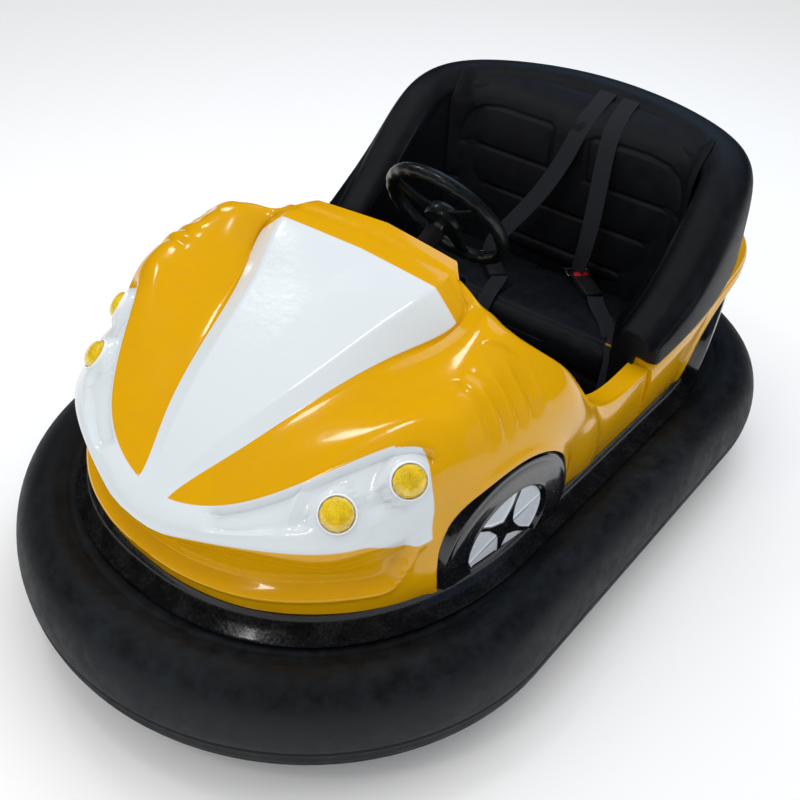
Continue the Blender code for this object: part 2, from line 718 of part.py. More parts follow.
def build_drive(steel, rubber, motor_grey, rim_grey):
    centre = Vector((0, SWIVEL_Y, 0))
    axis = steering_axis()
    along = (STEER_Y - SWIVEL_Y) / axis.y
    meet_z = STEER_Z - along * axis.z
    tower = box("swivel_mount", (-.185, SWIVEL_Y - .06, BEARING_Z),
                (.185, SWIVEL_Y + .06, BEARING_Z + BEARING_THICKNESS), steel)
    for side in (-1, 1):
        inner = .175
        low_x, high_x = sorted((side * inner, side * .187))
        add_to(tower, box_mesh("tower_leg", (low_x, SWIVEL_Y - .06, PAN_Z + PAN_THICKNESS + GAP),
                               (high_x, SWIVEL_Y + .06, BEARING_Z + .005)))
        low_x, high_x = sorted((side * inner, side * .215))
        add_to(tower, box_mesh("tower_foot", (low_x, SWIVEL_Y - .06, PAN_Z + PAN_THICKNESS + GAP),
                               (high_x, SWIVEL_Y + .06, PAN_Z + PAN_THICKNESS + .008)))
    add_to(tower, box_mesh("shaft_stand", (-.030, SWIVEL_Y + .045, BEARING_Z + .004),
                           (.030, SWIVEL_Y + .060, meet_z + .062)))
    stem_hole = drum_mesh("stem_hole", (0, SWIVEL_Y, BEARING_Z), (0, 0, 1), STEM_RADIUS + .0012, 0.06)
    cut_from(tower, stem_hole)
    stand_at = Vector((0, SWIVEL_Y, meet_z)) + axis * (0.0525 / axis.y)
    cut_from(tower, drum_mesh("shaft_hole", stand_at, axis, SHAFT_RADIUS + .0015, 0.08))
    gear_top = meet_z - .0052
    fork = turned("drive_fork", [
        (0, gear_top), (.0095, gear_top), (.034, gear_top - .0135), (.030, gear_top - .022),
        (STEM_RADIUS, gear_top - .028), (STEM_RADIUS, FORK_PLATE_Z),
        (FORK_PLATE_RADIUS, FORK_PLATE_Z), (FORK_PLATE_RADIUS, FORK_PLATE_Z - .010), (0, FORK_PLATE_Z - .010),
    ], centre, (0, 0, 1), steel, 32)
    cheek_in = DRIVE_WIDTH / 2 + 0.008
    for side in (-1, 1):
        low_x, high_x = sorted((side * cheek_in, side * (cheek_in + .007)))
        add_to(fork, box_mesh("fork_cheek", (low_x, SWIVEL_Y - .030, DRIVE_RADIUS - .024),
                              (high_x, SWIVEL_Y + .030, FORK_PLATE_Z - .004)))
    add_to(fork, drum_mesh("drive_axle", (0, SWIVEL_Y, DRIVE_RADIUS), (1, 0, 0), .009, 2 * cheek_in + .022, 24))
    turned("drive_motor", [
        (0, .094), (.034, .094), (.040, .088), (.040, .004), (0, .004),
    ], (cheek_in + .008, SWIVEL_Y, DRIVE_RADIUS), (1, 0, 0), motor_grey, 32)
    build_wheel("drive", Vector((0, SWIVEL_Y, DRIVE_RADIUS)), DRIVE_RADIUS, DRIVE_WIDTH, .0095, rubber, rim_grey)


def build_wheel(name, centre, radius, width, bore, rubber, rim_grey):
    """A cast hub with a bore for its axle, and the solid rubber tyre pressed on it."""
    half = width / 2
    seat = radius - TYRE_DEPTH
    turned(name + "_hub", [
        (bore, half), (.026, half), (.030, half - .010), (seat - .012, half - .012),
        (seat - .006, half - .002), (seat, half - .002), (seat, -half + .002), (seat - .006, -half + .002),
        (seat - .012, -half + .012), (.030, -half + .010), (.026, -half), (bore, -half), (bore, half),
    ], centre, (1, 0, 0), rim_grey, 32)
    turned(name + "_tyre", [
        (seat + GAP, half - .001), (radius - .008, half - .001), (radius, half - .009),
        (radius, -half + .009), (radius - .008, -half + .001), (seat + GAP, -half + .001),
        (seat + GAP, half - .001),
    ], centre, (1, 0, 0), rubber, 32)


def build_rear_running_gear(steel, rubber, rim_grey):
    axle_z = REAR_RADIUS
    reach = REAR_TRACK + REAR_WIDTH / 2 + .020
    tube("rear_axle", [Vector((-reach, REAR_AXLE_Y, axle_z)), Vector((reach, REAR_AXLE_Y, axle_z))],
         AXLE_RADIUS, steel, 4)
    hanger_at = REAR_TRACK - REAR_WIDTH / 2 - .040
    for side, word in ((1, "left"), (-1, "right")):
        low_x, high_x = sorted((side * (hanger_at - .008), side * (hanger_at + .008)))
        hanger = box(word + "_axle_hanger", (low_x, REAR_AXLE_Y - .040, axle_z - .026),
                     (high_x, REAR_AXLE_Y + .040, PAN_Z - GAP), steel)
        hole = drum_mesh("axle_hole", (side * hanger_at, REAR_AXLE_Y, axle_z), (1, 0, 0), AXLE_RADIUS + GAP, 0.05)
        cut_from(hanger, hole)
        centre = Vector((side * REAR_TRACK, REAR_AXLE_Y, axle_z))
        build_wheel(word + "_rear", centre, REAR_RADIUS, REAR_WIDTH, AXLE_RADIUS + .0008, rubber, rim_grey)


def build_cockpit(lining, mat_black, steel):
    mat_z = PAN_Z + PAN_THICKNESS + GAP
    mat_top = mat_z + .006
    mat_front = SWIVEL_Y + WELL_RADIUS + .035
    box("floor_mat", (-.300 * WIDER, mat_front, mat_z),
        (.300 * WIDER, SEAT_FRONT_Y - .004, mat_top), mat_black)
    dash_y = -.150 * LONGER
    dash = box("dash_panel", (-.190 * WIDER, dash_y, .470), (.190 * WIDER, dash_y + .006, .672), lining)
    axis = steering_axis()
    centre = Vector((0, STEER_Y, STEER_Z))
    reach = (STEER_Y - dash_y - .003) / axis.y
    cut_from(dash, drum_mesh("column_hole", centre - axis * reach, axis, COLUMN_RADIUS + .001, 0.06))
    pedal_z = mat_top + GAP
    box("foot_pedal", (-.165 * WIDER, mat_front + .030, pedal_z),
        (-.095 * WIDER, mat_front + .150, pedal_z + .010), steel, .003)
    battery_y = SEAT_FRONT_Y + .020
    box("battery_block", (-.235 * WIDER, battery_y, mat_z),
        (.235 * WIDER, battery_y + .155 * LONGER, mat_z + .120), lining)


def build_belts(webbing, black):
    """Two shoulder belts from the middle of the back, each with its own buckle and its strap."""
    top_z = BACK_TOP - .005
    routes = {
        "left": [(.095, .505, top_z), (.105, .490, .650), (.118, .470, .560), (.120, .452, .470),
                 (.098, .462, .398)],
        "right": [(.020, .505, top_z), (.000, .488, .640), (-.040, .455, .540), (-.095, .415, .450),
                  (-.095, .385, .398)],
    }
    for word, points in routes.items():
        strap(word + "_belt", smooth_route(fitted(points), 4), (1, 0, 0), .036, .002, webbing)
    cushion_top = CUSHION_BOTTOM + CUSHION_THICKNESS
    for word, low, high in (
        ("left", (.098, .392, cushion_top + .0025), (.170, .457, cushion_top + .0215)),
        ("right", (-.088, .316, cushion_top + .0025), (-.028, .380, cushion_top + .0215)),
    ):
        box(word + "_buckle", fitted(low), fitted(high), black, .004)


def main():
    global parts, tools
    clear_scene()
    parts = new_collection("bumper_car")
    tools = new_collection("cutters")
    yellow = paint("gloss_yellow", (.86, .47, .02), .18)
    rubber = paint("tyre_rubber", (.02, .02, .022), .75)
    gloss_black = paint("gloss_black", (.012, .012, .013), .25)
    steel = paint("painted_steel", (.05, .05, .055), .5, .6)
    zinc = paint("zinc_steel", (.45, .45, .47), .4, .9)
    lining = paint("black_lining", (.02, .02, .02), .6)
    vinyl = paint("black_vinyl", (.018, .019, .022), .5)
    webbing = paint("grey_webbing", (.05, .055, .06), .8)
    amber = paint("amber_lens", (.9, .5, .03), .12)
    red_lens = paint("red_lens", (.5, .02, .02), .15)
    build_tyre(rubber)
    build_pan(steel, steel)
    build_trim(gloss_black)
    front, rear = build_bodies(yellow)
    for side, word in ((1, "left"), (-1, "right")):
        build_disc("front_" + word + "_disc", FRONT_DISC_Y, side, front, gloss_black)
        build_disc("rear_" + word + "_disc", REAR_DISC_Y, side, rear, gloss_black)
        for lamp, rows, row, station, body, lens in (
            ("_inner_lamp", FRONT_POINTS, 2.45, 3.72, front, amber),
            ("_outer_lamp", FRONT_POINTS, 2.60, 4.32, front, amber),
            ("_tail_lamp", REAR_POINTS, 2.10, 4.60, rear, red_lens),
        ):
            place, facing = seat_in(rows, row, station)
            across = Vector((side, 1, 1))
            build_lamp(word + lamp, place * across, facing * across, body, lens)
    build_seat(vinyl, lining)
    build_steering(gloss_black, zinc, lining)
    build_drive(steel, rubber, lining, zinc)
    build_rear_running_gear(steel, rubber, zinc)
    build_cockpit(lining, rubber, zinc)
    build_belts(webbing, gloss_black)


main()
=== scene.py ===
"""The finished look of the bumper car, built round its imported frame."""

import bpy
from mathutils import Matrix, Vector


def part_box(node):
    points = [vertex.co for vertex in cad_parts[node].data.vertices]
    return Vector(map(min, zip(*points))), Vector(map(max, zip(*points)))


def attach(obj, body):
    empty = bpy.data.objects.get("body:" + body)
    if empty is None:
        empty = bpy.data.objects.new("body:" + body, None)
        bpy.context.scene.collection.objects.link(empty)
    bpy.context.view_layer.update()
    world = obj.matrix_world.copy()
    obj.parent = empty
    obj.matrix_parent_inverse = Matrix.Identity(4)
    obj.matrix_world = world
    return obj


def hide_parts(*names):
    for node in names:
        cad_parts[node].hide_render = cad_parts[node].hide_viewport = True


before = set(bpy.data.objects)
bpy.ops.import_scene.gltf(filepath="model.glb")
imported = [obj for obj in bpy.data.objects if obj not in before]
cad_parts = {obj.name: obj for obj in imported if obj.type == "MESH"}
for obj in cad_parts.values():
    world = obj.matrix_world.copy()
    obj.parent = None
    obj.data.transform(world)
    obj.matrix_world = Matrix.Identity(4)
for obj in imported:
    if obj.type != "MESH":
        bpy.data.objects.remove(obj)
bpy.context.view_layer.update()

import math

import bmesh
import bpy
import numpy as np
from mathutils import Matrix, Quaternion, Vector

scene = bpy.context.scene
scene.view_settings.view_transform = "Standard"

# The camera stands in front of the car's left corner, above its hood.
azimuth = math.radians(37.94)
elevation = math.radians(38.04)
roll = math.radians(3.45)
distance = 2.0356
target = Vector((0.0146, -0.0986, 0.2651))
backwards = Vector((
    math.sin(azimuth) * math.cos(elevation),
    -math.cos(azimuth) * math.cos(elevation),
    math.sin(elevation),
))
lens = bpy.data.cameras.new("camera")
lens.lens = 40.98
lens.sensor_width = 36.0
camera = bpy.data.objects.new("camera", lens)
scene.collection.objects.link(camera)
camera.location = target + backwards * distance
camera.rotation_mode = "QUATERNION"
camera.rotation_quaternion = backwards.to_track_quat("Z", "Y") @ Quaternion((0, 0, 1), roll)
scene.camera = camera


# A pale studio floor under a soft white dome, a broad light overhead and two from the sides.
def deselect():
    bpy.ops.object.select_all(action="DESELECT")


def principled(name, colour, roughness, metallic=0.0, coat=0.0, coat_roughness=0.05, specular=0.3):
    """A material and its shader, with the plain values set on the shader's own sockets."""
    material = bpy.data.materials.new(name)
    material.use_nodes = True
    shader = material.node_tree.nodes["Principled BSDF"]
    shader.inputs["Base Color"].default_value = (*colour, 1.0)
    shader.inputs["Roughness"].default_value = roughness
    shader.inputs["Metallic"].default_value = metallic
    shader.inputs["Specular IOR Level"].default_value = specular
    shader.inputs["Coat Weight"].default_value = coat
    shader.inputs["Coat Roughness"].default_value = coat_roughness
    return material, shader


deselect()
bpy.ops.mesh.primitive_plane_add(size=30.0, location=(0, 0, 0))
floor = bpy.context.active_object
floor.name = "studio_floor"
floor.data.materials.append(principled("pale_floor", (.93, .93, .93), .9)[0])

world = bpy.data.worlds.new("studio")
world.use_nodes = True
world.node_tree.nodes["Background"].inputs["Color"].default_value = (1.0, 1.0, 1.0, 1.0)
world.node_tree.nodes["Background"].inputs["Strength"].default_value = 0.80
world.cycles_visibility.glossy = False
scene.world = world
for word, place, size, power, colour, mirrored in (
    ("overhead", (.6, .6, 3.6), 3.0, 34.0, (1.0, .99, .97), False),
    ("front_fill", (-1.6, -3.4, 2.4), 2.0, 14.0, (1.0, .98, .95), False),
    ("side_card", (3.4, .6, 1.5), 2.4, 4.0, (.40, .62, 1.0), True),
    ("roof_card", (-.8, 2.6, 3.4), 2.6, 22.0, (.50, .70, 1.0), True),
    ("lamp_row_a", (-.55, -.95, 3.0), .28, 5.0, (1.0, 1.0, 1.0), True),
    ("lamp_row_b", (.15, -2.1, 2.6), .30, 5.0, (1.0, 1.0, 1.0), True),
    ("lamp_row_c", (-1.9, -.2, 2.6), .40, 6.0, (1.0, 1.0, 1.0), True),
):
    light = bpy.data.lights.new(word, "AREA")
    light.size = size
    light.energy = power
    light.color = colour
    lit = bpy.data.objects.new(word, light)
    scene.collection.objects.link(lit)
    lit.location = place
    lit.rotation_euler = (Vector(place) - Vector((0, 0, .3))).to_track_quat("Z", "Y").to_euler()
    lit.visible_glossy = mirrored


# What time and use do to every finish: blotches of dust or fading, and a fine grain in relief. The steering
# grip's teal blotches are a painted sheen, and the lenses' dark specks are painted reflections.
def new_group(name, inputs, outputs):
    """An empty shader group with its sockets, and its input and output nodes."""
    group = bpy.data.node_groups.new(name, "ShaderNodeTree")
    for word, kind in inputs:
        group.interface.new_socket(word, in_out="INPUT", socket_type="NodeSocket" + kind)
    for word, kind in outputs:
        group.interface.new_socket(word, in_out="OUTPUT", socket_type="NodeSocket" + kind)
    return group, group.nodes.new("NodeGroupInput"), group.nodes.new("NodeGroupOutput")


def shade_node(tree, kind, settings=None, **values):
    """A shader node with its settings and plain input values."""
    node = tree.nodes.new(kind)
    for word, value in (settings or {}).items():
        setattr(node, word, value)
    for word, value in values.items():
        node.inputs[word.replace("_", " ")].default_value = value
    return node


def wire(tree, *links):
    """Makes each link of a shader tree, given as node, output, node, input."""
    for start, out, end, into in links:
        tree.links.new(start.outputs[out], end.inputs[into])


wear_and_sheen, wear_and_sheen_in, wear_and_sheen_out = new_group("wear_and_sheen_surface", (
    ("Colour", "Color"), ("Wear And Sheen Colour", "Color"), ("Amount", "Float"), ("Scale", "Float"),
    ("Smoothness", "Float"), ("Spread", "Float"), ("Grain Scale", "Float"),
), (("Colour", "Color"), ("Roughness", "Float"), ("Height", "Float")))
place = wear_and_sheen.nodes.new("ShaderNodeTexCoord")
blotch = shade_node(wear_and_sheen, "ShaderNodeTexNoise", Detail=6.0, Roughness=.62, Distortion=.4)
speck = shade_node(wear_and_sheen, "ShaderNodeTexNoise", Detail=3.0, Roughness=.7)
grain = shade_node(wear_and_sheen, "ShaderNodeTexNoise", Detail=2.0, Roughness=.5)
speck_scale = shade_node(wear_and_sheen, "ShaderNodeMath", {"operation": "MULTIPLY"})
speck_scale.inputs[1].default_value = 9.0
both = shade_node(wear_and_sheen, "ShaderNodeMath", {"operation": "MULTIPLY"})
mask = shade_node(wear_and_sheen, "ShaderNodeMapRange", From_Min=.16, From_Max=.42)
strength = shade_node(wear_and_sheen, "ShaderNodeMath", {"operation": "MULTIPLY", "use_clamp": True})
tint = shade_node(wear_and_sheen, "ShaderNodeMix", {"data_type": "RGBA"})
rough = shade_node(wear_and_sheen, "ShaderNodeMath", {"operation": "MULTIPLY_ADD", "use_clamp": True})
wire(
    wear_and_sheen,
    (place, "Object", blotch, "Vector"), (place, "Object", speck, "Vector"),
    (place, "Object", grain, "Vector"),
    (wear_and_sheen_in, "Scale", blotch, "Scale"), (wear_and_sheen_in, "Scale", speck_scale, 0), (speck_scale, 0, speck, "Scale"),
    (wear_and_sheen_in, "Grain Scale", grain, "Scale"), (blotch, "Fac", both, 0), (speck, "Fac", both, 1),
    (both, 0, mask, "Value"), (mask, "Result", strength, 0), (wear_and_sheen_in, "Amount", strength, 1),
    (strength, 0, tint, "Factor"), (wear_and_sheen_in, "Colour", tint, "A"), (wear_and_sheen_in, "Wear And Sheen Colour", tint, "B"),
    (mask, "Result", rough, 0), (wear_and_sheen_in, "Spread", rough, 1), (wear_and_sheen_in, "Smoothness", rough, 2),
    (tint, "Result", wear_and_sheen_out, "Colour"), (rough, 0, wear_and_sheen_out, "Roughness"),
    (grain, "Fac", wear_and_sheen_out, "Height"),
)


def blotch_node(tree, *values):
    """The blotched surface in a material, with a value for each of its inputs in turn: wear, with a painted
    sheen on the grip and painted reflections on the lenses.
    """
    node = tree.nodes.new("ShaderNodeGroup")
    node.node_tree = wear_and_sheen
    for socket, value in zip(node.inputs, values):
        socket.default_value = value
    return node


def blotched_finish(name, colour, blotching, amount, scale, roughness, spread, grain_scale, relief,
              metallic=0.0, coat=0.0, coat_roughness=0.05):
    """A material whose colour and gloss are worn in blotches, with a fine grain in relief; the grip's teal
    blotches are a painted sheen and the lenses' dark specks are painted reflections.
    """
    material, shader = principled(name, colour, roughness, metallic, coat, coat_roughness)
    tree = material.node_tree
    blotched = blotch_node(tree, (*colour, 1), (*blotching, 1), amount, scale, roughness, spread, grain_scale)
    bump = shade_node(tree, "ShaderNodeBump", Strength=1.0, Distance=relief)
    wire(tree, (blotched, "Colour", shader, "Base Color"), (blotched, "Roughness", shader, "Roughness"),
         (blotched, "Height", bump, "Height"), (bump, "Normal", shader, "Normal"))
    return material


# The bumper tyre: one thick moulded rubber ring, matt and dusty, with five fine grooves low on its
# face.
def smooth_through(points, steps):
    """Points on a smooth line through rows of points, with steps to each span."""
    count = len(points)
    weights = 4 * np.eye(count) + np.eye(count, k=1) + np.eye(count, k=-1)
    weights[0] = 6 * np.eye(count)[0]
    weights[-1] = 6 * np.eye(count)[-1]
    control = np.linalg.solve(weights / 6, points.reshape(count, -1))
    control = np.vstack((2 * control[0] - control[1], control, 2 * control[-1] - control[-2]))
    places = []
    for step in range((count - 1) * steps + 1):
        span = min(step // steps, count - 2)
        t = step / steps - span
        pull = np.array([(1 - t) ** 3, 3 * t ** 3 - 6 * t ** 2 + 4,
                         -3 * t ** 3 + 3 * t ** 2 + 3 * t + 1, t ** 3]) / 6
        places.append(pull @ control[span:span + 4])
    return np.array(places).reshape((-1,) + points.shape[1:])


def round_plan(half_width, front_tip, rear_tip, front_round, rear_round, powers, steps=44):
    """Points in plan round a nose, a straight side, a tail and the other side."""
    points = []
    for quarter in range(4):
        at_front = quarter in (0, 3)
        power = powers[0] if at_front else powers[1]
        reach = front_round if at_front else rear_round
        middle = -front_tip + front_round if at_front else rear_tip - rear_round
        for step in range(steps):
            angle = step / steps * math.pi / 2
            if quarter in (1, 3):
                angle = math.pi / 2 - angle
            across = half_width * math.sin(angle) ** (2 / power)
            along = reach * math.cos(angle) ** (2 / power)
            points.append((across if quarter < 2 else -across,
                           middle + (-along if at_front else along)))
    return np.array(points)


def outward_of(plan):
    """The outward direction at each point of a closed plan."""
    along = np.roll(plan, -1, axis=0) - np.roll(plan, 1, axis=0)
    along /= np.linalg.norm(along, axis=1, keepdims=True)
    return np.stack((along[:, 1], -along[:, 0]), axis=1)


def swept_rings(plan, section):
    """Rings of points: a section of (outward, height) carried round a closed plan."""
    outward = outward_of(plan)
    flat = plan[:, None, :] + outward[:, None, :] * section[None, :, 0, None]
    height = np.broadcast_to(section[None, :, 1, None], flat.shape[:2] + (1,))
    return np.concatenate((flat, height), axis=2)


def loft(name, rings, material, close_along=True, angle=40):
    """A mesh through rings of points, its faces turned outwards and its shading smooth."""
    count, sides = rings.shape[:2]
    faces = []
    for ring in range(count if close_along else count - 1):
        after = (ring + 1) % count
        for side in range(sides):
            beside = (side + 1) % sides
            faces.append((ring * sides + side, ring * sides + beside,
                          after * sides + beside, after * sides + side))
    if not close_along:
        faces.append(tuple(range(sides)))
        faces.append(tuple((count - 1) * sides + side for side in reversed(range(sides))))
    mesh = bpy.data.meshes.new(name)
    mesh.from_pydata(rings.reshape(-1, 3).tolist(), [], faces)
    bm = bmesh.new()
    bm.from_mesh(mesh)
    bmesh.ops.recalc_face_normals(bm, faces=bm.faces)
    bm.to_mesh(mesh)
    bm.free()
    return add_piece(name, mesh, material, angle)


def add_piece(name, mesh, material, angle=40):
    mesh.shade_smooth()
    mesh.set_sharp_from_angle(angle=math.radians(angle))
    piece = bpy.data.objects.new(name, mesh)
    scene.collection.objects.link(piece)
    mesh.materials.append(material)
    return piece


def belongs(piece, body, slot, *nodes):
    """The piece rides on its body and stands for CAD nodes, which it hides; slot is not used."""
    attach(piece, body)
    if nodes:
        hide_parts(*nodes)
    return piece


tyre_plan = round_plan(.515, .865, .865, .485, .415, (2.0, 2.1))
tyre_section = np.array([
    (-.075, .110), (-.075, .165), (-.075, .220), (-.065, .236), (-.025, .248), (.005, .260),
    (.035, .255), (.062, .234), (.078, .200), (.085, .160), (.083, .118), (.072, .084),
    (.050, .070), (.010, .066), (-.055, .069), (-.070, .085),
])
tyre_line = smooth_through(tyre_section, 9)
GROOVE_DEPTH = .0034
GROOVE_WIDTH = .0026
low_face = tyre_line[:, 0] > .050
for height in (.086, .099, .112, .125, .138):
    groove = np.exp(-((tyre_line[:, 1] - height) / GROOVE_WIDTH) ** 2)
    tyre_line[:, 0] -= np.where(low_face, GROOVE_DEPTH * groove, 0)
shoulder = np.exp(-((tyre_line[:, 0] + .030) / .0035) ** 2) * (tyre_line[:, 1] > .2)
tyre_line[:, 1] -= .0022 * shoulder
bumper_rubber = blotched_finish("bumper_rubber", (.0040, .0052, .0070), (.016, .022, .030), .62, 3.4,
                          .50, .30, 900.0, .0004)
bumper = loft("bumper_tyre_moulding", swept_rings(tyre_plan, tyre_line), bumper_rubber)
belongs(bumper, "chassis", "bumper_rubber", "bumper_tyre")


# The steel chassis: a pan and rolled rim in black paint, rubbed through to bare metal at places.
painted_steel = blotched_finish("painted_steel", (.018, .019, .021), (.10, .085, .07), .5, 14.0,
                          .42, .3, 400.0, .0002)


def finish_node(name, material):
    """Gives a CAD node its finish through its own material slot."""
    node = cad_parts[name]
    if not node.material_slots:
        node.data.materials.append(material)
    for place in node.material_slots:
        place.material = material


for word in ("chassis_pan", "tyre_rim", "swivel_mount", "drive_fork", "left_axle_hanger",
             "right_axle_hanger"):
    finish_node(word, painted_steel)


# The trim band: a black gloss strip moulded all round under the body, scuffed by the floor.
gloss_black = blotched_finish("gloss_black", (.0040, .0040, .0046), (.032, .034, .038), .40, 22.0,
                        .12, .30, 160.0, .0004, coat=.6, coat_roughness=.1)
trim_plan = round_plan(.448, .775, .778, .51, .50, (2.29, 2.3))
trim_section = np.array([
    (-.022, .2300), (-.010, .2300), (.004, .2362), (.030, .2470), (.037, .2492), (.0385, .2520),
    (.035, .2548), (.020, .2620), (.016, .2655), (.010, .2700), (.006, .2790), (.002, .2877),
    (-.022, .2877),
])
trim = loft("trim_band_moulding", swept_rings(trim_plan, trim_section), gloss_black, angle=50)
belongs(trim, "chassis", "gloss_black", "trim_band")


# The front body: one glass-fibre moulding in gloss gel coat, white over the hood and nose and
# yellow elsewhere, laid up about 4 mm thick and bolted to the trim band.
FRONT_POINTS = np.array([
    [(0, -.775, .288), (.045, -.774, .288), (.085, -.770, .288), (.210, -.733, .288), (.340, -.630, .288),
     (.415, -.505, .288), (.448, -.360, .288), (.448, -.190, .288), (.448, -.030, .288), (.448, .186, .288)],
    [(0, -.783, .335), (.045, -.782, .336), (.085, -.778, .337), (.216, -.736, .342), (.347, -.635, .348),
     (.420, -.505, .350), (.458, -.360, .352), (.460, -.190, .350), (.455, -.030, .325), (.450, .186, .318)],
    [(0, -.783, .395), (.035, -.783, .398), (.070, -.780, .405), (.215, -.732, .437), (.345, -.637, .449),
     (.405, -.500, .450), (.466, -.360, .440), (.470, -.190, .425), (.460, -.030, .360), (.450, .186, .345)],
    [(0, -.743, .434), (.020, -.743, .435), (.038, -.743, .437), (.185, -.682, .487), (.334, -.499, .578),
     (.405, -.460, .555), (.455, -.355, .525), (.470, -.180, .490), (.462, -.033, .395), (.450, .186, .370)],
    [(0, -.635, .508), (.055, -.634, .507), (.088, -.632, .498), (.200, -.565, .545), (.318, -.445, .605),
     (.392, -.405, .608), (.438, -.325, .580), (.463, -.170, .540), (.460, -.030, .415), (.449, .186, .390)],
    [(0, -.485, .580), (.105, -.485, .578), (.142, -.485, .561), (.218, -.440, .583), (.302, -.375, .618),
     (.368, -.350, .637), (.410, -.295, .617), (.445, -.160, .570), (.455, -.028, .430), (.448, .186, .402)],
    [(0, -.345, .642), (.150, -.345, .642), (.197, -.348, .607), (.235, -.325, .613), (.285, -.305, .642),
     (.333, -.290, .668), (.378, -.258, .650), (.425, -.155, .588), (.450, -.026, .440), (.447, .186, .410)],
    [(0, -.228, .692), (.190, -.243, .694), (.246, -.248, .647), (.262, -.240, .655), (.285, -.243, .678),
     (.318, -.245, .690), (.360, -.230, .660), (.415, -.158, .586), (.447, -.030, .445), (.446, .186, .415)],
    [(0, -.150, .712), (.172, -.160, .702), (.205, -.190, .697), (.235, -.197, .682), (.265, -.200, .668),
     (.300, -.205, .660), (.343, -.200, .636), (.400, -.142, .572), (.440, -.020, .440), (.442, .186, .418)],
])
fine = 15    # steps to each span between drawn points
WALL = .004


def both_sides(half, ends_at_middle=False):
    """A body skin's rows with the mirror image of its half."""
    flip = np.array((-1, 1, 1))
    if ends_at_middle:
        return np.concatenate((half, half[:, -2::-1] * flip), axis=1)
    return np.concatenate((half[:, :0:-1] * flip, half), axis=1)


def skin_grid(half, ends_at_middle=False):
    climbed = smooth_through(both_sides(half, ends_at_middle), fine)
    return smooth_through(climbed.swapaxes(0, 1), fine).swapaxes(0, 1)


def neighbours_mean(grid):
    """The mean of each point's four neighbours in a grid."""
    around = np.pad(grid, ((1, 1), (1, 1), (0, 0)), mode="edge")
    return (around[:-2, 1:-1] + around[2:, 1:-1] + around[1:-1, :-2] + around[1:-1, 2:]) / 4


def normals_of(grid, evening=0):
    """Outward directions over a skin, evened out with their neighbours a few times."""
    normals = np.cross(np.gradient(grid, axis=1), np.gradient(grid, axis=0))
    normals /= np.linalg.norm(normals, axis=2, keepdims=True)
    for _ in range(evening):
        normals = neighbours_mean(normals)
        normals /= np.linalg.norm(normals, axis=2, keepdims=True)
    return normals


def ramp(value, start, end):
    """0 before start and 1 after end, and smooth between them."""
    t = np.clip((value - start) / (end - start), 0, 1)
    return t * t * (3 - 2 * t)


def hump(value, middle, width):
    return np.exp(-((value - middle) / width) ** 2)


def store_field(mesh, values):
    """Stores how far each point is inside a white panel."""
    stored = mesh.attributes.new("white_panel", "FLOAT", "POINT")
    stored.data.foreach_set("value", values.astype(np.float32))


def shell_piece(name, outside, inner_normals, white_field, material):
    """A closed shell: an outside grid, the inside a wall's thickness behind it, and its edges."""
    inside = outside - inner_normals * WALL
    high, wide = outside.shape[:2]
    layer = high * wide
    corner = (np.arange(high - 1)[:, None] * wide + np.arange(wide - 1)[None, :]).ravel()
    front_faces = np.stack((corner, corner + 1, corner + wide + 1, corner + wide), axis=1)
    faces = np.concatenate((front_faces, front_faces[:, ::-1] + layer)).tolist()
    edge = list(range(wide)) + [row * wide + wide - 1 for row in range(1, high)]
    edge += list(range(layer - 2, layer - wide - 1, -1))
    edge += [row * wide for row in range(high - 2, 0, -1)]
    for here, after in zip(edge, edge[1:] + edge[:1]):
        faces.append((after, here, here + layer, after + layer))
    mesh = bpy.data.meshes.new(name)
    points = np.concatenate((outside.reshape(-1, 3), inside.reshape(-1, 3)))
    mesh.from_pydata(points.tolist(), [], faces)
    store_field(mesh, np.concatenate((white_field.ravel(), white_field.ravel())))
    return add_piece(name, mesh, material, 50)


def cut_with(piece, centre, axis, radius, depth, sides=96):
    """Cuts a round hole through a piece."""
    deselect()
    bpy.ops.mesh.primitive_cylinder_add(vertices=sides, radius=radius, depth=depth, location=centre)
    cutter = bpy.context.active_object
    cutter.rotation_euler = Vector(axis).to_track_quat("Z", "Y").to_euler()
    boolean = piece.modifiers.new("hole", "BOOLEAN")
    boolean.operation = "DIFFERENCE"
    boolean.solver = "EXACT"
    boolean.object = cutter
    bpy.context.view_layer.objects.active = piece
    bpy.ops.object.modifier_apply(modifier="hole")
    bpy.data.objects.remove(cutter)


def from_axis(places, centre, facing):
    """How far each place is from the axis of a relief wheel."""
    away = places - np.array(centre)
    along = away @ np.array(facing)
    return np.linalg.norm(away - along[..., None] * np.array(facing), axis=2)


def cut_arches(piece, centre, facing):
    """Cuts a hole for a relief wheel in each side of a body."""
    for side in (1, -1):
        flip = Vector((side, 1, 1))
        cut_with(piece, centre * flip, facing * flip, DISC_RADIUS + ARCH_GAP, ARCH_DEPTH)


def two_tone(name, colour, roughness, coat, coat_roughness, blotching, panel_colour, edge, relief):
    """A worn gloss material that turns to a second colour inside the white panels."""
    material, shader = principled(name, colour, roughness, coat=coat, coat_roughness=coat_roughness)
    tree = material.node_tree
    field = shade_node(tree, "ShaderNodeAttribute", {"attribute_name": "white_panel"})
    inside = shade_node(tree, "ShaderNodeMapRange", From_Min=-edge, From_Max=edge)
    blotched = blotch_node(tree, *blotching)
    mix = shade_node(tree, "ShaderNodeMix", {"data_type": "RGBA"})
    mix.inputs["B"].default_value = panel_colour
    bump = shade_node(tree, "ShaderNodeBump", Strength=1.0, Distance=relief)
    wire(tree, (field, "Fac", inside, "Value"), (inside, "Result", mix, "Factor"),
         (blotched, "Colour", mix, "A"), (mix, "Result", shader, "Base Color"),
         (blotched, "Roughness", shader, "Roughness"), (blotched, "Height", bump, "Height"),
         (bump, "Normal", shader, "Normal"))
    return material


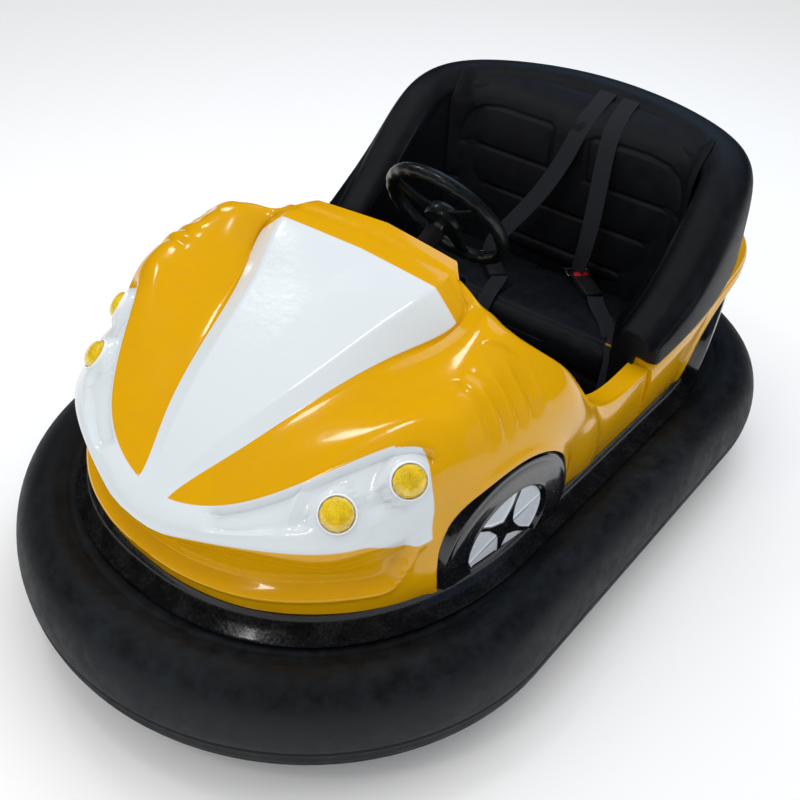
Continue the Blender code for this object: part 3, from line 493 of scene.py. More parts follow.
gel_coat = two_tone(
    "gel_coat", (.80, .40, .008), .16, .45, .04,
    ((.66, .338, .0008, 1), (.57, .268, .0006, 1), .30, 2.6, .13, .10, 55.0),
    (.64, .69, .72, 1), .0005, .00035,
)

front = skin_grid(FRONT_POINTS)
high, wide = front.shape[:2]
row = np.arange(high)[:, None] / fine * np.ones((1, wide))
station = np.abs(np.arange(wide) - (wide - 1) / 2)[None, :] / fine * np.ones((high, 1))

# The stripe is flat between two ridges, with a sloping facet down each side.
middle = (wide - 1) // 2
lines = [front[:, middle + turn * fine] for turn in (0, 1, 2)]
for column in range(middle - 2 * fine, middle + 2 * fine + 1):
    across = abs(column - middle) / fine
    first = min(int(across), 1)
    straight = lines[first] * (1 - across + first) + lines[first + 1] * (across - first)
    if column < middle:
        straight = straight * np.array((-1, 1, 1))
    front[:, column] = front[:, column] * .1 + straight * .9
# the wing between the stripe and the arch is one even sweep
EVENING_ROUNDS = 110
evening = ramp(row, 4.6, 5.6) * (1 - ramp(row, 7.2, 7.9))
evening = evening * ramp(station, 2.3, 2.9) * (1 - ramp(station, 5.2, 6.2))
for _ in range(EVENING_ROUNDS):
    front = front + (neighbours_mean(front) - front) * evening[..., None]
normal = normals_of(front, 1)

side_x = np.abs(front[..., 0])
y = front[..., 1]
z = front[..., 2]
shape = np.zeros((high, wide))
# the long scoop in the lip, above a moulded ledge
ledge = .86 + .95 * ramp(station, 4.35, 4.95)
scoop = ramp(row, ledge - .04, ledge + .16)
scoop = scoop * (1 - ramp(row, 1.45, 1.98)) * (1 - ramp(station, 4.7, 5.0))
shape -= .0230 * scoop
shape += .0045 * hump(row, ledge - .10, .14) * (1 - ramp(station, 4.7, 5.2)) * (row < 1.9)
# the crisp lower edge of the nose band
band_low = 2 - .30 * ramp(station, 4.15, 4.90)
shape += .0035 * hump(row, band_low, .09) * (1 - ramp(station, 4.8, 5.3))
# the lamp pods: a long recess in the nose band with a rib across it
pod = ramp(row, 2.28, 2.38) * (1 - ramp(row, 2.88, 2.96))
pod = pod * ramp(station, 2.62, 2.74) * (1 - ramp(station, 4.55, 4.75))
rib = hump(station, 3.34, .05) + hump(station, 4.02, .04) * .5
LAMPS = (("inner", 2.42, 3.74), ("outer", 2.57, 4.38))    # at row, at station
PLINTH_RADIUS = .036
PLINTH_FOOT = .050
plinth = np.zeros((high, wide))
lamp_places = []
for word, at_row, at_station in LAMPS:
    here = (round(at_row * fine), middle + round(at_station * fine))
    place = front[here].copy()
    lamp_places.append((word, place, normals_of(front, 3)[here].copy()))
    far = np.linalg.norm(np.stack((side_x, y, z), axis=2) - place, axis=2)
    plinth = np.maximum(plinth, 1 - ramp(far, PLINTH_RADIUS, PLINTH_FOOT))
    shape -= .0015 * hump(far, .041, .004)
shape -= .0140 * pod * (1 - .85 * np.clip(rib, 0, 1)) * (1 - plinth)
# the brow, one step up behind the stripe
brow = ramp(row, 7.50, 7.66) * (1 - ramp(station, 2.3, 3.2))
shape += .0035 * brow - .0015 * hump(row, 7.46, .10) * (1 - ramp(station, 2.3, 3.2))
# four louvres pressed in each side, and the raised edge behind them
for top_y, low_y, low_z, top_z in (
    (-.372, -.389, .552, .640), (-.339, -.354, .560, .644), (-.306, -.320, .566, .646),
    (-.273, -.286, .570, .646),
):
    line = low_y + (top_y - low_y) * (z - low_z) / (top_z - low_z)
    reach = ramp(z, low_z - .010, low_z + .022) * (1 - ramp(z, top_z - .022, top_z + .010))
    reach = reach * ramp(side_x, .325, .345)
    shape -= .0042 * hump(y, line, .0080) * reach
    shape += .0034 * hump(y, line + .0165, .0080) * reach
crease = np.where(side_x < .387, -.284 + (side_x - .333) * .54, -.255 - (side_x - .387) * .24)
behind = ramp(y, crease - .004, crease + .006) * np.exp(-np.clip(y - crease, 0, 1) / .055)
shape += .0040 * behind * ramp(side_x, .318, .345) * ramp(z, .555, .590)
sill_line = -.059 + (.454 - z) * .36
door_edge = .0030 * (1 - ramp(y, sill_line - .012, sill_line + .010))
door_edge = door_edge * ramp(y, sill_line - .09, sill_line - .03)
shape += door_edge * ramp(side_x, .435, .445) * (1 - ramp(z, .43, .47))
# the flared edge round each relief wheel
DISC_RADIUS = .165
ARCH_GAP = .003
ARCH_DEPTH = .16
FLARE_OUT = .006
FLARE_WIDTH = .012
front_disc = Vector((.446, -.332, .345))
front_facing = Vector((math.cos(.133), -math.sin(.133), -.06)).normalized()
from_wheel = from_axis(np.stack((side_x, y, z), axis=2), front_disc, front_facing)
shape += .0050 * hump(from_wheel, DISC_RADIUS + FLARE_OUT, FLARE_WIDTH) * (side_x > .3)
front = front + normal * shape[..., None]

# white inside the stripe's foot and between the nose band's edges
metres_per_row = .05
metres_per_station = .06
band_end = 3.95 + 1.08 * (1 - np.clip((row - 2.05) / .95, 0, 1) ** 2.2) ** .55
in_band = np.minimum.reduce((
    (row - band_low) * metres_per_row, (3 - row) * metres_per_row,
    (band_end - station) * metres_per_station,
))
in_stripe = np.minimum.reduce((
    (2 - station) * metres_per_station, (row - 2) * metres_per_row, (7 - row) * metres_per_row,
))
white = np.maximum(in_band, in_stripe)
# the cockpit edge rolls under, and the sill turns in to a narrow flat shelf
SHELF_WIDTH = .040
OUTSIDE_PANEL = -.05
turned_in = ramp(station[-1], 7.2, 7.9)[:, None]
inward = np.sign(front[-1, :, :1]) * np.array((-1.0, 0, 0)) * SHELF_WIDTH * turned_in
under = np.array((0, .004, -.012)) * (1 - turned_in)
rolled = [front[-1] + (inward + under) * turn for turn in (.12, .4, .7, 1.0)]
front = np.concatenate((front, np.array(rolled)), axis=0)
white = np.concatenate((white, np.full((len(rolled), wide), OUTSIDE_PANEL)), axis=0)
front_body = shell_piece("front_body_moulding", front, normals_of(front, 6), white, gel_coat)
cut_arches(front_body, front_disc, front_facing)
belongs(front_body, "chassis", "body_paint", "front_body")


# The rear body: a second gel-coated moulding round the seat, with a step where it meets the sill
# and a rolled rim under the padding.
REAR_POINTS = np.array([
    [(.448, .1885, .288), (.448, .300, .288), (.447, .420, .288), (.432, .560, .288),
     (.355, .690, .288), (.200, .760, .288), (0, .778, .288)],
    [(.455, .1885, .340), (.458, .300, .340), (.458, .420, .340), (.442, .565, .340),
     (.365, .700, .340), (.205, .772, .340), (0, .790, .340)],
    [(.458, .1885, .385), (.465, .310, .400), (.466, .430, .425), (.450, .570, .450),
     (.372, .705, .450), (.210, .775, .450), (0, .792, .450)],
    [(.452, .1885, .420), (.468, .320, .445), (.472, .440, .490), (.462, .560, .525),
     (.380, .698, .530), (.212, .765, .538), (0, .780, .540)],
    [(.430, .1885, .432), (.464, .325, .478), (.472, .445, .522), (.460, .560, .560),
     (.362, .668, .578), (.202, .722, .590), (0, .738, .592)],
])
rear = skin_grid(REAR_POINTS, ends_at_middle=True)
rear_high, rear_wide = rear.shape[:2]
rear_row = np.arange(rear_high)[:, None] / fine * np.ones((1, rear_wide))
from_end = np.minimum(np.arange(rear_wide), rear_wide - 1 - np.arange(rear_wide)) / fine
rear_station = from_end[None, :] * np.ones((rear_high, 1))
rear_disc = Vector((.430, .545, .345))
rear_facing = Vector((math.cos(.30), math.sin(.30), -.06)).normalized()
places = rear * np.where(rear[..., :1] < 0, np.array((-1, 1, 1)), 1)
from_wheel = from_axis(places, rear_disc, rear_facing)
rear_shape = .0045 * hump(from_wheel, DISC_RADIUS + FLARE_OUT, FLARE_WIDTH)
rear_shape += .0030 * hump(rear_row, 3.45, .16) * ramp(rear_station, .3, 1.2)
# a shallow number-plate recess across the tail
plate_recess = (1 - ramp(places[..., 0], .118, .126)) * ramp(rear_row, 1.15, 1.22)
plate_recess = plate_recess * (1 - ramp(rear_row, 1.95, 2.02))
rear_shape -= .0060 * plate_recess
rear = rear + normals_of(rear, 1) * rear_shape[..., None]
# the rim rolls inwards under the padding, and both ends turn in across the sill
ROLL_DEPTH = .042
ROLL_CROWN = .0022
END_WIDTH = .050
rim = rear[-1]
outward = np.stack((rim[:, 0], rim[:, 1] - .25, np.zeros(rear_wide)), axis=1)
outward /= np.linalg.norm(outward, axis=1, keepdims=True)
rolled = [rim + outward * (-ROLL_DEPTH * turn) + np.array((0, 0, ROLL_CROWN * turn * (1 - turn) * 4))
          for turn in (.08, .2, .4, .7, 1.0)]
rear = np.concatenate((rear, np.array(rolled)), axis=0)
ends = []
for column, side in ((0, 1), (-1, -1)):
    edge = rear[:, column]
    inward = np.array((-END_WIDTH * side, 0, 0))
    drop = np.array((0, 0, -.002))
    ends.append([edge + inward * turn + drop * turn + np.array((0, -.0015, 0))
                 for turn in (.08, .3, .6, 1.0)])
rear = np.concatenate((np.array(ends[0][::-1]).swapaxes(0, 1), rear, np.array(ends[1]).swapaxes(0, 1)),
                      axis=1)
rear_body = shell_piece("rear_body_moulding", rear, normals_of(rear, 4),
                        np.full(rear.shape[:2], OUTSIDE_PANEL), gel_coat)
cut_arches(rear_body, rear_disc, rear_facing)
belongs(rear_body, "chassis", "body_paint", "rear_body")


# The relief wheels: a black gloss disc in each arch, dished like a car wheel, with six white
# panels between the arms of a star. The trim band hides the lowest part.
wheel_gloss = two_tone(
    "relief_wheel_gloss", (.006, .006, .007), .16, .8, .06,
    ((.0035, .0035, .0042, 1), (.016, .018, .022, 1), .4, 18.0, .10, .26, 120.0),
    (.70, .74, .80, 1), .0004, .0003,
)

# each arm's direction in degrees and its half width
STAR = ((78, .0050), (148, .0050), (205, .0012), (265, .0050), (324, .0050), (18, .0012))
DISH_RADIUS = .0925
HUB_RADIUS = .022
BACK_DEPTH = .045
BACK_FLARE = 1.06
TRIM_TOP = .2902


def relief_wheel(name, centre, facing, node):
    radii = np.concatenate((np.linspace(.004, .100, 54), np.linspace(.102, DISC_RADIUS, 26)))
    turns = np.linspace(0, math.tau, 192, endpoint=False)
    reach, turn = np.meshgrid(radii, turns, indexing="ij")
    across = reach * np.cos(turn)
    up = reach * np.sin(turn)
    gap = np.full(reach.shape, 1.0)
    for degrees, half_width in STAR:
        angle = math.radians(degrees)
        along = across * math.cos(angle) + up * math.sin(angle)
        aside = np.abs(-across * math.sin(angle) + up * math.cos(angle))
        spread = .016 * np.clip(1 - along / .055, 0, 1) ** 1.3
        arm = half_width + (spread if half_width > .002 else 0)
        gap = np.minimum(gap, np.where(along > 0, aside - arm, 1.0))
    white = np.minimum.reduce((gap, DISH_RADIUS - reach, reach - HUB_RADIUS))
    lift = .004 + .010 * ramp(reach, .092, .101) - .003 * ramp(reach, .135, .160)
    lift = lift - .010 * ramp(reach, .158, DISC_RADIUS)
    lift += .0010 * hump(reach, .101, .0035) + .0030 * ramp(-white, -.0022, .0010) * (reach < .094)
    lift -= .0009 * hump(reach, .150, .0016)
    lift += .0022 * hump(reach, 0, .016)
    z_axis = np.array(facing)
    x_axis = np.cross((0, 0, 1), z_axis)
    x_axis /= np.linalg.norm(x_axis)
    if x_axis[1] < 0:
        x_axis = -x_axis
    y_axis = np.cross(z_axis, x_axis)
    if y_axis[2] < 0:
        y_axis = -y_axis
    middle_point = np.array(centre)
    top = middle_point + across[..., None] * x_axis + up[..., None] * y_axis + lift[..., None] * z_axis
    count, sides = reach.shape
    back = np.array([
        middle_point + BACK_FLARE * (across[-1, i] * x_axis + up[-1, i] * y_axis) - BACK_DEPTH * z_axis
        for i in range(sides)
    ])
    points = np.concatenate((top.reshape(-1, 3), back))
    faces = [tuple(range(sides))]
    for ring in range(0, count * sides, sides):
        for i in range(sides):
            j = (i + 1) % sides
            faces.append((ring + i, ring + j, ring + sides + j, ring + sides + i))
    faces.append(tuple(range(count * sides, count * sides + sides)))
    mesh = bpy.data.meshes.new(name)
    mesh.from_pydata(points.tolist(), [], faces)
    store_field(mesh, np.concatenate((white.ravel(), np.full(sides, OUTSIDE_PANEL))))
    bm = bmesh.new()
    bm.from_mesh(mesh)
    bmesh.ops.recalc_face_normals(bm, faces=bm.faces)
    cut = bmesh.ops.bisect_plane(bm, geom=bm.verts[:] + bm.edges[:] + bm.faces[:], clear_outer=True,
                                 plane_co=(0, 0, TRIM_TOP), plane_no=(0, 0, -1))
    rim_edges = [part for part in cut["geom_cut"] if isinstance(part, bmesh.types.BMEdge)]
    bmesh.ops.holes_fill(bm, edges=rim_edges, sides=0)
    bm.to_mesh(mesh)
    bm.free()
    wheel = add_piece(name, mesh, wheel_gloss, 50)
    belongs(wheel, "chassis", "gloss_black", node)


for side, word in ((1, "left"), (-1, "right")):
    flip = Vector((side, 1, 1))
    for end, centre, facing in (("front_", front_disc, front_facing), ("rear_", rear_disc, rear_facing)):
        relief_wheel(end + word + "_relief_wheel", centre * flip, facing * flip, end + word + "_disc")


# The lamps: a faceted amber dome in a white bezel on each plinth, and two red ones on the tail.
def lens_material(name, colour, painted_speck_colour):
    # the darker specks over each lens are painted reflections of its facets
    material = blotched_finish(name, colour, painted_speck_colour, .9, 60.0, .10, .12, 260.0, .0012,
                         coat=1.0, coat_roughness=.03)
    material.node_tree.nodes["Principled BSDF"].inputs["Specular IOR Level"].default_value = .8
    return material


amber_lens = lens_material("amber_lens", (.86, .60, .012), (.42, .24, .004))
red_lens = lens_material("red_lens", (.42, .010, .008), (.16, .003, .003))
bezel_white = blotched_finish("bezel_white", (.84, .86, .88), (.74, .76, .76), .2, 20.0, .25, .1, 300.0,
                        .0002, coat=.6)


def turned(profile, steps, place, tilt):
    """Rings of points: a profile of (radius, height) turned about an axis at a place."""
    rings = []
    for step in range(steps):
        turn = step / steps * math.tau
        rings.append([list(place + tilt @ Vector((r * math.cos(turn), r * math.sin(turn), h)))
                      for r, h in profile])
    return np.array(rings)


DOME = ((.0290, -.0100), (.0285, .0015), (.0262, .0068), (.0225, .0108), (.0178, .0136),
        (.0122, .0153), (.0060, .0161))
BEZEL = ((.0291, -.006), (.0291, .0006), (.0296, .0018), (.0306, .0023), (.0318, .0018),
         (.0324, .0006), (.0328, -.003), (.0328, -.006))
FACETS = 20


def lamp(name, place, facing, cover, node):
    tilt = Vector(facing).to_track_quat("Z", "Y")
    rings = []
    for ring, (radius, lift) in enumerate(DOME):
        points = []
        for step in range(FACETS):
            turn = (step + .5 * (ring % 2)) / FACETS * math.tau
            pull = 1 - .035 * ((step + ring) % 2)
            across = Vector((radius * pull * math.cos(turn), radius * pull * math.sin(turn), lift))
            points.append(list(Vector(place) + tilt @ across))
        rings.append(points)
    dome = loft(name, np.array(rings), cover, close_along=False, angle=4)
    belongs(dome, "chassis", "amber_lens" if "tail" not in name else "red_lens", node)
    bezel = loft(name + "_bezel", turned(BEZEL, 56, Vector(place), tilt), bezel_white)
    belongs(bezel, "chassis", "body_paint")


for side, side_word in ((1, "left"), (-1, "right")):
    flip = Vector((side, 1, 1))
    for word, place, facing in lamp_places:
        lamp(side_word + "_" + word + "_lamp_lens", Vector(place) * flip, Vector(facing) * flip,
             amber_lens, side_word + "_" + word + "_lamp")
tail_low, tail_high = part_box("left_tail_lamp")
tail_place = (tail_low + tail_high) / 2
for side, side_word in ((1, "left"), (-1, "right")):
    flip = Vector((side, 1, 1))
    lamp(side_word + "_tail_lamp_lens", tail_place * flip, Vector((.36, .93, .05)) * flip, red_lens,
         side_word + "_tail_lamp")


# The padded surround: black vinyl over foam, one long roll round the seat, stitched along its
# inner side and tucked down behind the body's rim.
black_vinyl = blotched_finish("black_vinyl", (.0045, .0050, .0068), (.0100, .0130, .0185), .7, 4.0, .44, .14,
                        700.0, .0006)
# the route round one side: across, along, the crown's height and the body rim's height
SURROUND = np.array([
    (.402, .193, .494, .440), (.412, .270, .558, .466), (.415, .360, .652, .494),
    (.408, .445, .734, .524), (.380, .528, .772, .560), (.300, .594, .788, .580),
    (.165, .635, .800, .594), (0, .648, .806, .596),
])
foot = .300
whole = np.concatenate((SURROUND, SURROUND[-2::-1] * (-1, 1, 1, 1)), axis=0)
route = smooth_through(whole, 10)
along = np.gradient(route[:, :2], axis=0)
along /= np.linalg.norm(along, axis=1, keepdims=True)
route_out = np.stack((along[:, 1], -along[:, 0]), axis=1)
rings = []
for (x, y_at, crown, rim_at), out in zip(route, route_out):
    at_back = float(ramp(y_at, .50, .625))
    half = (crown + rim_at) / 2
    section = np.array([
        (-.046 - .062 * at_back, foot), (-.050 - .058 * at_back, foot + .09),
        (-.053 - .040 * at_back, (foot + half) / 2 + .03),
        (-.055 - .018 * at_back, half + .03), (-.051, crown - .030), (-.032, crown - .008), (0, crown),
        (.030, crown - .007), (.050, crown - .030), (.061, half + .02), (.066, rim_at + .030),
        (.066, rim_at + .010), (.060, rim_at + .003), (.036, rim_at + .002), (.012, rim_at - .004),
        (.010, rim_at - .060), (.010, foot),
    ])
    line = smooth_through(section, 5)
    inner = line[:, 0] < -.02
    seam = hump(line[:, 1], crown - .058, .0035) * inner
    line[:, 0] += .0035 * seam
    rings.append([(x + out[0] * o, y_at + out[1] * o, h) for o, h in line])
rings = np.array(rings)
closing = []
for ring in (rings[0], rings[-1]):
    centre_at = ring.mean(axis=0)
    push = np.array((0, -1, 0))
    closing.append([centre_at + (ring - centre_at) * shrink + push * lift
                    for shrink, lift in ((.985, .006), (.93, .011), (.80, .014))])
rings = np.concatenate((np.array(closing[0][::-1]), rings, np.array(closing[1])), axis=0)
surround = loft("padded_surround", rings, black_vinyl, close_along=False, angle=60)
belongs(surround, "chassis", "black_vinyl", "seat_surround")


# The bench: a foam cushion and a wide backrest in black vinyl, quilted with sewn channels.
CLOTH_FRAMES = 20


def points_of(mesh):
    """A mesh's points as rows of numbers."""
    points = np.zeros(len(mesh.vertices) * 3)
    mesh.vertices.foreach_get("co", points)
    return points.reshape(-1, 3)


def puffed(name, low, high, cap, voxel=.006, pressure=4.0):
    """A padded block: a rounded box, blown up by a short cloth simulation and smoothed."""
    deselect()
    low = Vector(low)
    high = Vector(high)
    bpy.ops.mesh.primitive_cube_add(size=1.0, location=(low + high) / 2)
    pad = bpy.context.active_object
    pad.name = name
    pad.scale = high - low
    bpy.ops.object.transform_apply(location=True, rotation=False, scale=True)
    rounding = pad.modifiers.new("rounding", "BEVEL")
    rounding.width = min(high - low) * .30
    rounding.segments = 4
    bpy.ops.object.modifier_apply(modifier="rounding")
    remesh = pad.modifiers.new("even", "REMESH")
    remesh.mode = "VOXEL"
    remesh.voxel_size = voxel
    bpy.ops.object.modifier_apply(modifier="even")
    rest = points_of(pad.data)
    cloth = pad.modifiers.new("cloth", "CLOTH")
    cloth.settings.use_pressure = True
    cloth.settings.uniform_pressure_force = pressure
    cloth.settings.effector_weights.gravity = 0.0
    cloth.settings.quality = 4
    for frame_number in range(1, CLOTH_FRAMES + 1):
        scene.frame_set(frame_number)
    graph = bpy.context.evaluated_depsgraph_get()
    moved = points_of(pad.evaluated_get(graph).to_mesh())
    pad.evaluated_get(graph).to_mesh_clear()
    pad.modifiers.remove(cloth)
    scene.frame_set(1)
    shift = moved - rest
    length = np.linalg.norm(shift, axis=1, keepdims=True)
    shift *= np.minimum(1, cap / np.maximum(length, 1e-9))
    pad.data.vertices.foreach_set("co", (rest + shift).ravel())
    bpy.context.view_layer.objects.active = pad
    finer = pad.modifiers.new("finer", "SUBSURF")
    finer.levels = 1
    finer.render_levels = 1
    bpy.ops.object.modifier_apply(modifier="finer")
    pad.data.shade_smooth()
    pad.data.materials.append(black_vinyl)
    return pad


def reshape(pad, change):
    """Moves a pad's points by change(points)."""
    pad.data.vertices.foreach_set("co", change(points_of(pad.data)).ravel())
    pad.data.update()


def distance_to_line(flat, ends):
    """How far flat points are from a bent line, in metres."""
    nearest = np.full(len(flat), 9.0)
    for (ax, ay), (bx, by) in zip(ends, ends[1:]):
        start = np.array((ax, ay))
        run = np.array((bx - ax, by - ay))
        t = np.clip(((flat - start) @ run) / (run @ run), 0, 1)
        nearest = np.minimum(nearest, np.linalg.norm(flat - start - t[:, None] * run, axis=1))
    return nearest


def shape_cushion(points):
    """Presses the middle seam and the front seam, and lets the front edge fall."""
    top = points[:, 2] > .33
    seams = distance_to_line(points[:, :2], [(0, .20), (0, .52)])
    edge_seam = np.abs(points[:, 1] - .262)
    points[:, 2] -= np.where(top, .0045 * hump(seams, 0, .005) + .0035 * hump(edge_seam, 0, .004), 0)
    across = np.clip(points[:, 0] / .33, -1, 1)
    points[:, 2] += np.where(top, .004 * np.cos(across * math.pi) * -1 * .6, 0)
    front = np.clip((.262 - points[:, 1]) / .05, 0, 1)
    points[:, 2] -= np.where(top, .012 * front ** 2, 0)
    return points


cushion = puffed("bench_cushion", (-.338, .226, .291), (.338, .500, .368), .010)
reshape(cushion, shape_cushion)
belongs(cushion, "chassis", "black_vinyl", "seat_cushion")


def shape_backrest(points):
    """Presses two panels' outlines and two seams, wraps the ends forward and the top back."""
    flat = points[:, (0, 2)].copy()
    face = points[:, 1] < .549
    near = np.full(len(points), 9.0)
    for side in (-1, 1):
        outline = [(side * .052, .604), (side * .048, .700), (side * .060, .711), (side * .200, .712),
                   (side * .255, .703), (side * .288, .680), (side * .305, .645), (side * .308, .604)]
        near = np.minimum(near, distance_to_line(flat, outline))
        near = np.minimum(near, distance_to_line(flat, [(side * .052, .604), (side * .308, .604)]))
    for level in (.505, .405):
        near = np.minimum(near, np.abs(flat[:, 1] - level))
    depth = .0062 * hump(near, 0, .0048) - .0030 * (1 - np.exp(-(near / .022) ** 2))
    points[:, 1] += np.where(face, depth, 0)
    wrap = np.clip((np.abs(points[:, 0]) - .272) / .075, 0, 1.2)
    points[:, 1] -= .085 * wrap ** 2
    points[:, 1] += .070 * np.clip((points[:, 2] - .700) / .090, 0, 1.2) ** 1.6
    return points


backrest = puffed("bench_backrest", (-.343, .528, .350), (.343, .572, .790), .010)
reshape(backrest, shape_backrest)
belongs(backrest, "chassis", "black_vinyl", "seat_back")


# The belts: woven webbing from behind the backrest to a chromed tongue, a black buckle with a
# red button, and the strap that holds each buckle to the floor.
webbing, webbing_shader = principled("grey_webbing", (.014, .016, .020), .72)
weave_tree = webbing.node_tree
weave_at = shade_node(weave_tree, "ShaderNodeUVMap", {"uv_map": "weave"})
across_wave = shade_node(weave_tree, "ShaderNodeTexWave", {"wave_type": "BANDS", "bands_direction": "X"},
                         Scale=190.0, Distortion=.6)
along_wave = shade_node(weave_tree, "ShaderNodeTexWave", {"wave_type": "BANDS", "bands_direction": "Y"},
                        Scale=260.0, Distortion=.8)
threads = shade_node(weave_tree, "ShaderNodeMath", {"operation": "MULTIPLY"})
thread_tint = shade_node(weave_tree, "ShaderNodeMix", {"data_type": "RGBA"})
thread_tint.inputs["A"].default_value = (.011, .012, .016, 1)
thread_tint.inputs["B"].default_value = (.042, .047, .058, 1)
thread_bump = shade_node(weave_tree, "ShaderNodeBump", Strength=.8, Distance=.0008)
wire(
    weave_tree,
    (weave_at, "UV", across_wave, "Vector"), (weave_at, "UV", along_wave, "Vector"),
    (across_wave, "Fac", threads, 0), (along_wave, "Fac", threads, 1), (threads, 0, thread_tint, "Factor"),
    (thread_tint, "Result", webbing_shader, "Base Color"), (threads, 0, thread_bump, "Height"),
    (thread_bump, "Normal", webbing_shader, "Normal"),
)
BELT_WIDTH = .044
STRAP_WIDTH = .040


def strap(name, points, width, sides=None, thick=.0022):
    """A flat strap along a smooth line, with the direction of its width at each point."""
    sides = sides or [(1, 0, 0)] * len(points)
    line = smooth_through(np.array(points, float), 10)
    aim = smooth_through(np.array(sides, float), 10)
    forward = np.gradient(line, axis=0)
    forward /= np.linalg.norm(forward, axis=1, keepdims=True)
    aim -= (aim * forward).sum(axis=1, keepdims=True) * forward
    aim /= np.linalg.norm(aim, axis=1, keepdims=True)
    face = np.cross(aim, forward)
    section = [(-.5, 0), (-.488, .5), (-.40, .62), (0, .5), (.40, .62), (.488, .5), (.5, 0),
               (.488, -.5), (.40, -.62), (0, -.5), (-.40, -.62), (-.488, -.5)]
    rings = np.array([
        [centre + right * (w * width) + up * (h * thick) for w, h in section]
        for centre, right, up in zip(line, aim, face)
    ])
    piece = loft(name, rings, webbing, close_along=False, angle=50)
    run = np.concatenate(([0], np.cumsum(np.linalg.norm(np.diff(line, axis=0), axis=1))))
    uv = piece.data.uv_layers.new(name="weave")
    across = np.array([w * width for w, _ in section])
    for loop in piece.data.loops:
        index = loop.vertex_index
        uv.data[loop.index].uv = (across[index % len(section)], run[index // len(section)])
    return piece


left_belt = strap("left_shoulder_belt", [
    (.093, .606, .789), (.094, .562, .765), (.097, .524, .722), (.106, .497, .652), (.118, .470, .560),
    (.121, .452, .470), (.112, .456, .420), (.106, .462, .392),
], BELT_WIDTH, [(1, 0, 0)] * 5 + [(.98, -.15, 0), (.92, -.35, 0), (.88, -.45, 0)])
belongs(left_belt, "chassis", "grey_webbing", "left_belt")
right_belt = strap("right_shoulder_belt", [
    (.030, .608, .791), (.028, .564, .767), (.018, .524, .722), (.000, .494, .644), (-.040, .456, .545),
    (-.088, .418, .462), (-.108, .398, .418), (-.100, .384, .392),
], BELT_WIDTH, [(1, 0, 0)] * 4 + [(.95, .1, .25), (.92, .1, .3), (.95, .1, .2), (.95, -.3, 0)])
belongs(right_belt, "chassis", "grey_webbing", "right_belt")
left_lower = strap("left_buckle_strap", [
    (.196, .402, .392), (.225, .372, .384), (.264, .338, .382), (.305, .290, .378), (.338, .246, .366),
    (.356, .205, .330), (.362, .186, .280), (.362, .180, .200),
], STRAP_WIDTH, [(.7, .7, 0)] * 4 + [(.75, .6, 0), (.8, .5, 0), (.8, .4, 0), (.8, .4, 0)])
belongs(left_lower, "chassis", "grey_webbing")
right_lower = strap("right_buckle_strap", [
    (-.030, .330, .388), (-.020, .300, .386), (-.012, .262, .378), (-.008, .228, .352), (-.008, .208, .300),
    (-.008, .208, .200),
], STRAP_WIDTH)
belongs(right_lower, "chassis", "grey_webbing")

chrome = blotched_finish("chromed_steel", (.78, .79, .81), (.45, .45, .46), .4, 60.0, .12, .2, 500.0,
                   .0001, metallic=1.0)
buckle_black = blotched_finish("buckle_black", (.008, .008, .009), (.03, .03, .033), .4, 40.0, .32, .2, 500.0,
                         .0003)
button_red = blotched_finish("button_red", (.45, .010, .018), (.25, .006, .012), .4, 60.0, .35, .1, 500.0, .0002)


def block(name, size, place, turn, material, edge):
    """A moulded block: a cube at its size, with all its edges rounded."""
    deselect()
    bpy.ops.mesh.primitive_cube_add(size=1.0)
    piece = bpy.context.active_object
    piece.name = name
    piece.scale = size
    bpy.ops.object.transform_apply(location=False, rotation=False, scale=True)
    rounding = piece.modifiers.new("rounding", "BEVEL")
    rounding.width = edge
    rounding.segments = 3
    bpy.ops.object.modifier_apply(modifier="rounding")
    bpy.ops.object.shade_smooth_by_angle(angle=math.radians(35))
    piece.data.transform(Matrix.Translation(place) @ turn.to_matrix().to_4x4())
    piece.data.materials.append(material)
    return piece


def buckle(word, place, heading, pitch, node):
    """A buckle whose tongue end points along heading."""
    turn = Quaternion((0, 0, 1), heading) @ Quaternion((0, 1, 0), pitch)
    place = Vector(place)
    body = block(word + "_buckle_body", (.088, .044, .019), place, turn, buckle_black, .004)
    belongs(body, "chassis", "gloss_black", node)
    button = block(word + "_buckle_button", (.015, .036, .006), place + turn @ Vector((.0355, 0, .0085)),
                   turn, button_red, .0018)
    belongs(button, "chassis", "gloss_black")
    tongue = block(word + "_belt_tongue", (.032, .060, .0034), place + turn @ Vector((.0555, 0, .004)), turn,
                   chrome, .0012)
    slot_cut = block("slot", (.007, .046, .02), place + turn @ Vector((.0620, 0, .003)), turn, chrome, .001)
    boolean = tongue.modifiers.new("slot", "BOOLEAN")
    boolean.object = slot_cut
    boolean.operation = "DIFFERENCE"
    bpy.context.view_layer.objects.active = tongue
    bpy.ops.object.modifier_apply(modifier="slot")
    bpy.data.objects.remove(slot_cut)
    belongs(tongue, "chassis", "gloss_black")


buckle("left", (.152, .436, .390), math.radians(147), -.10, "left_buckle")
buckle("right", (-.066, .352, .388), math.radians(140), -.06, "right_buckle")


# The steering: a moulded wheel with a soft grip and three spokes on a zinc-plated shaft, in a black
# column that the dash panel carries.
steer_radius = .136
steer_centre = Vector((0, .040, .664))
steer_axis = Vector((0, .51, .331)).normalized()
steer_turn = steer_axis.to_track_quat("Z", "Y")
# the teal tint of the grip's blotches is a painted sheen, not wear
grip_black = blotched_finish("grip_black", (.0040, .0048, .0052), (.008, .016, .018), .8, 16.0, .26, .22, 600.0,
                       .0005, coat=.35, coat_roughness=.2)
zinc_steel = blotched_finish("zinc_steel", (.42, .42, .44), (.24, .22, .20), .6, 30.0, .32, .25, 500.0, .0002,
                       metallic=.95)
GRIP_STEPS = 144
GRIP_SIDES = 20
FINGER_BUMPS = 24
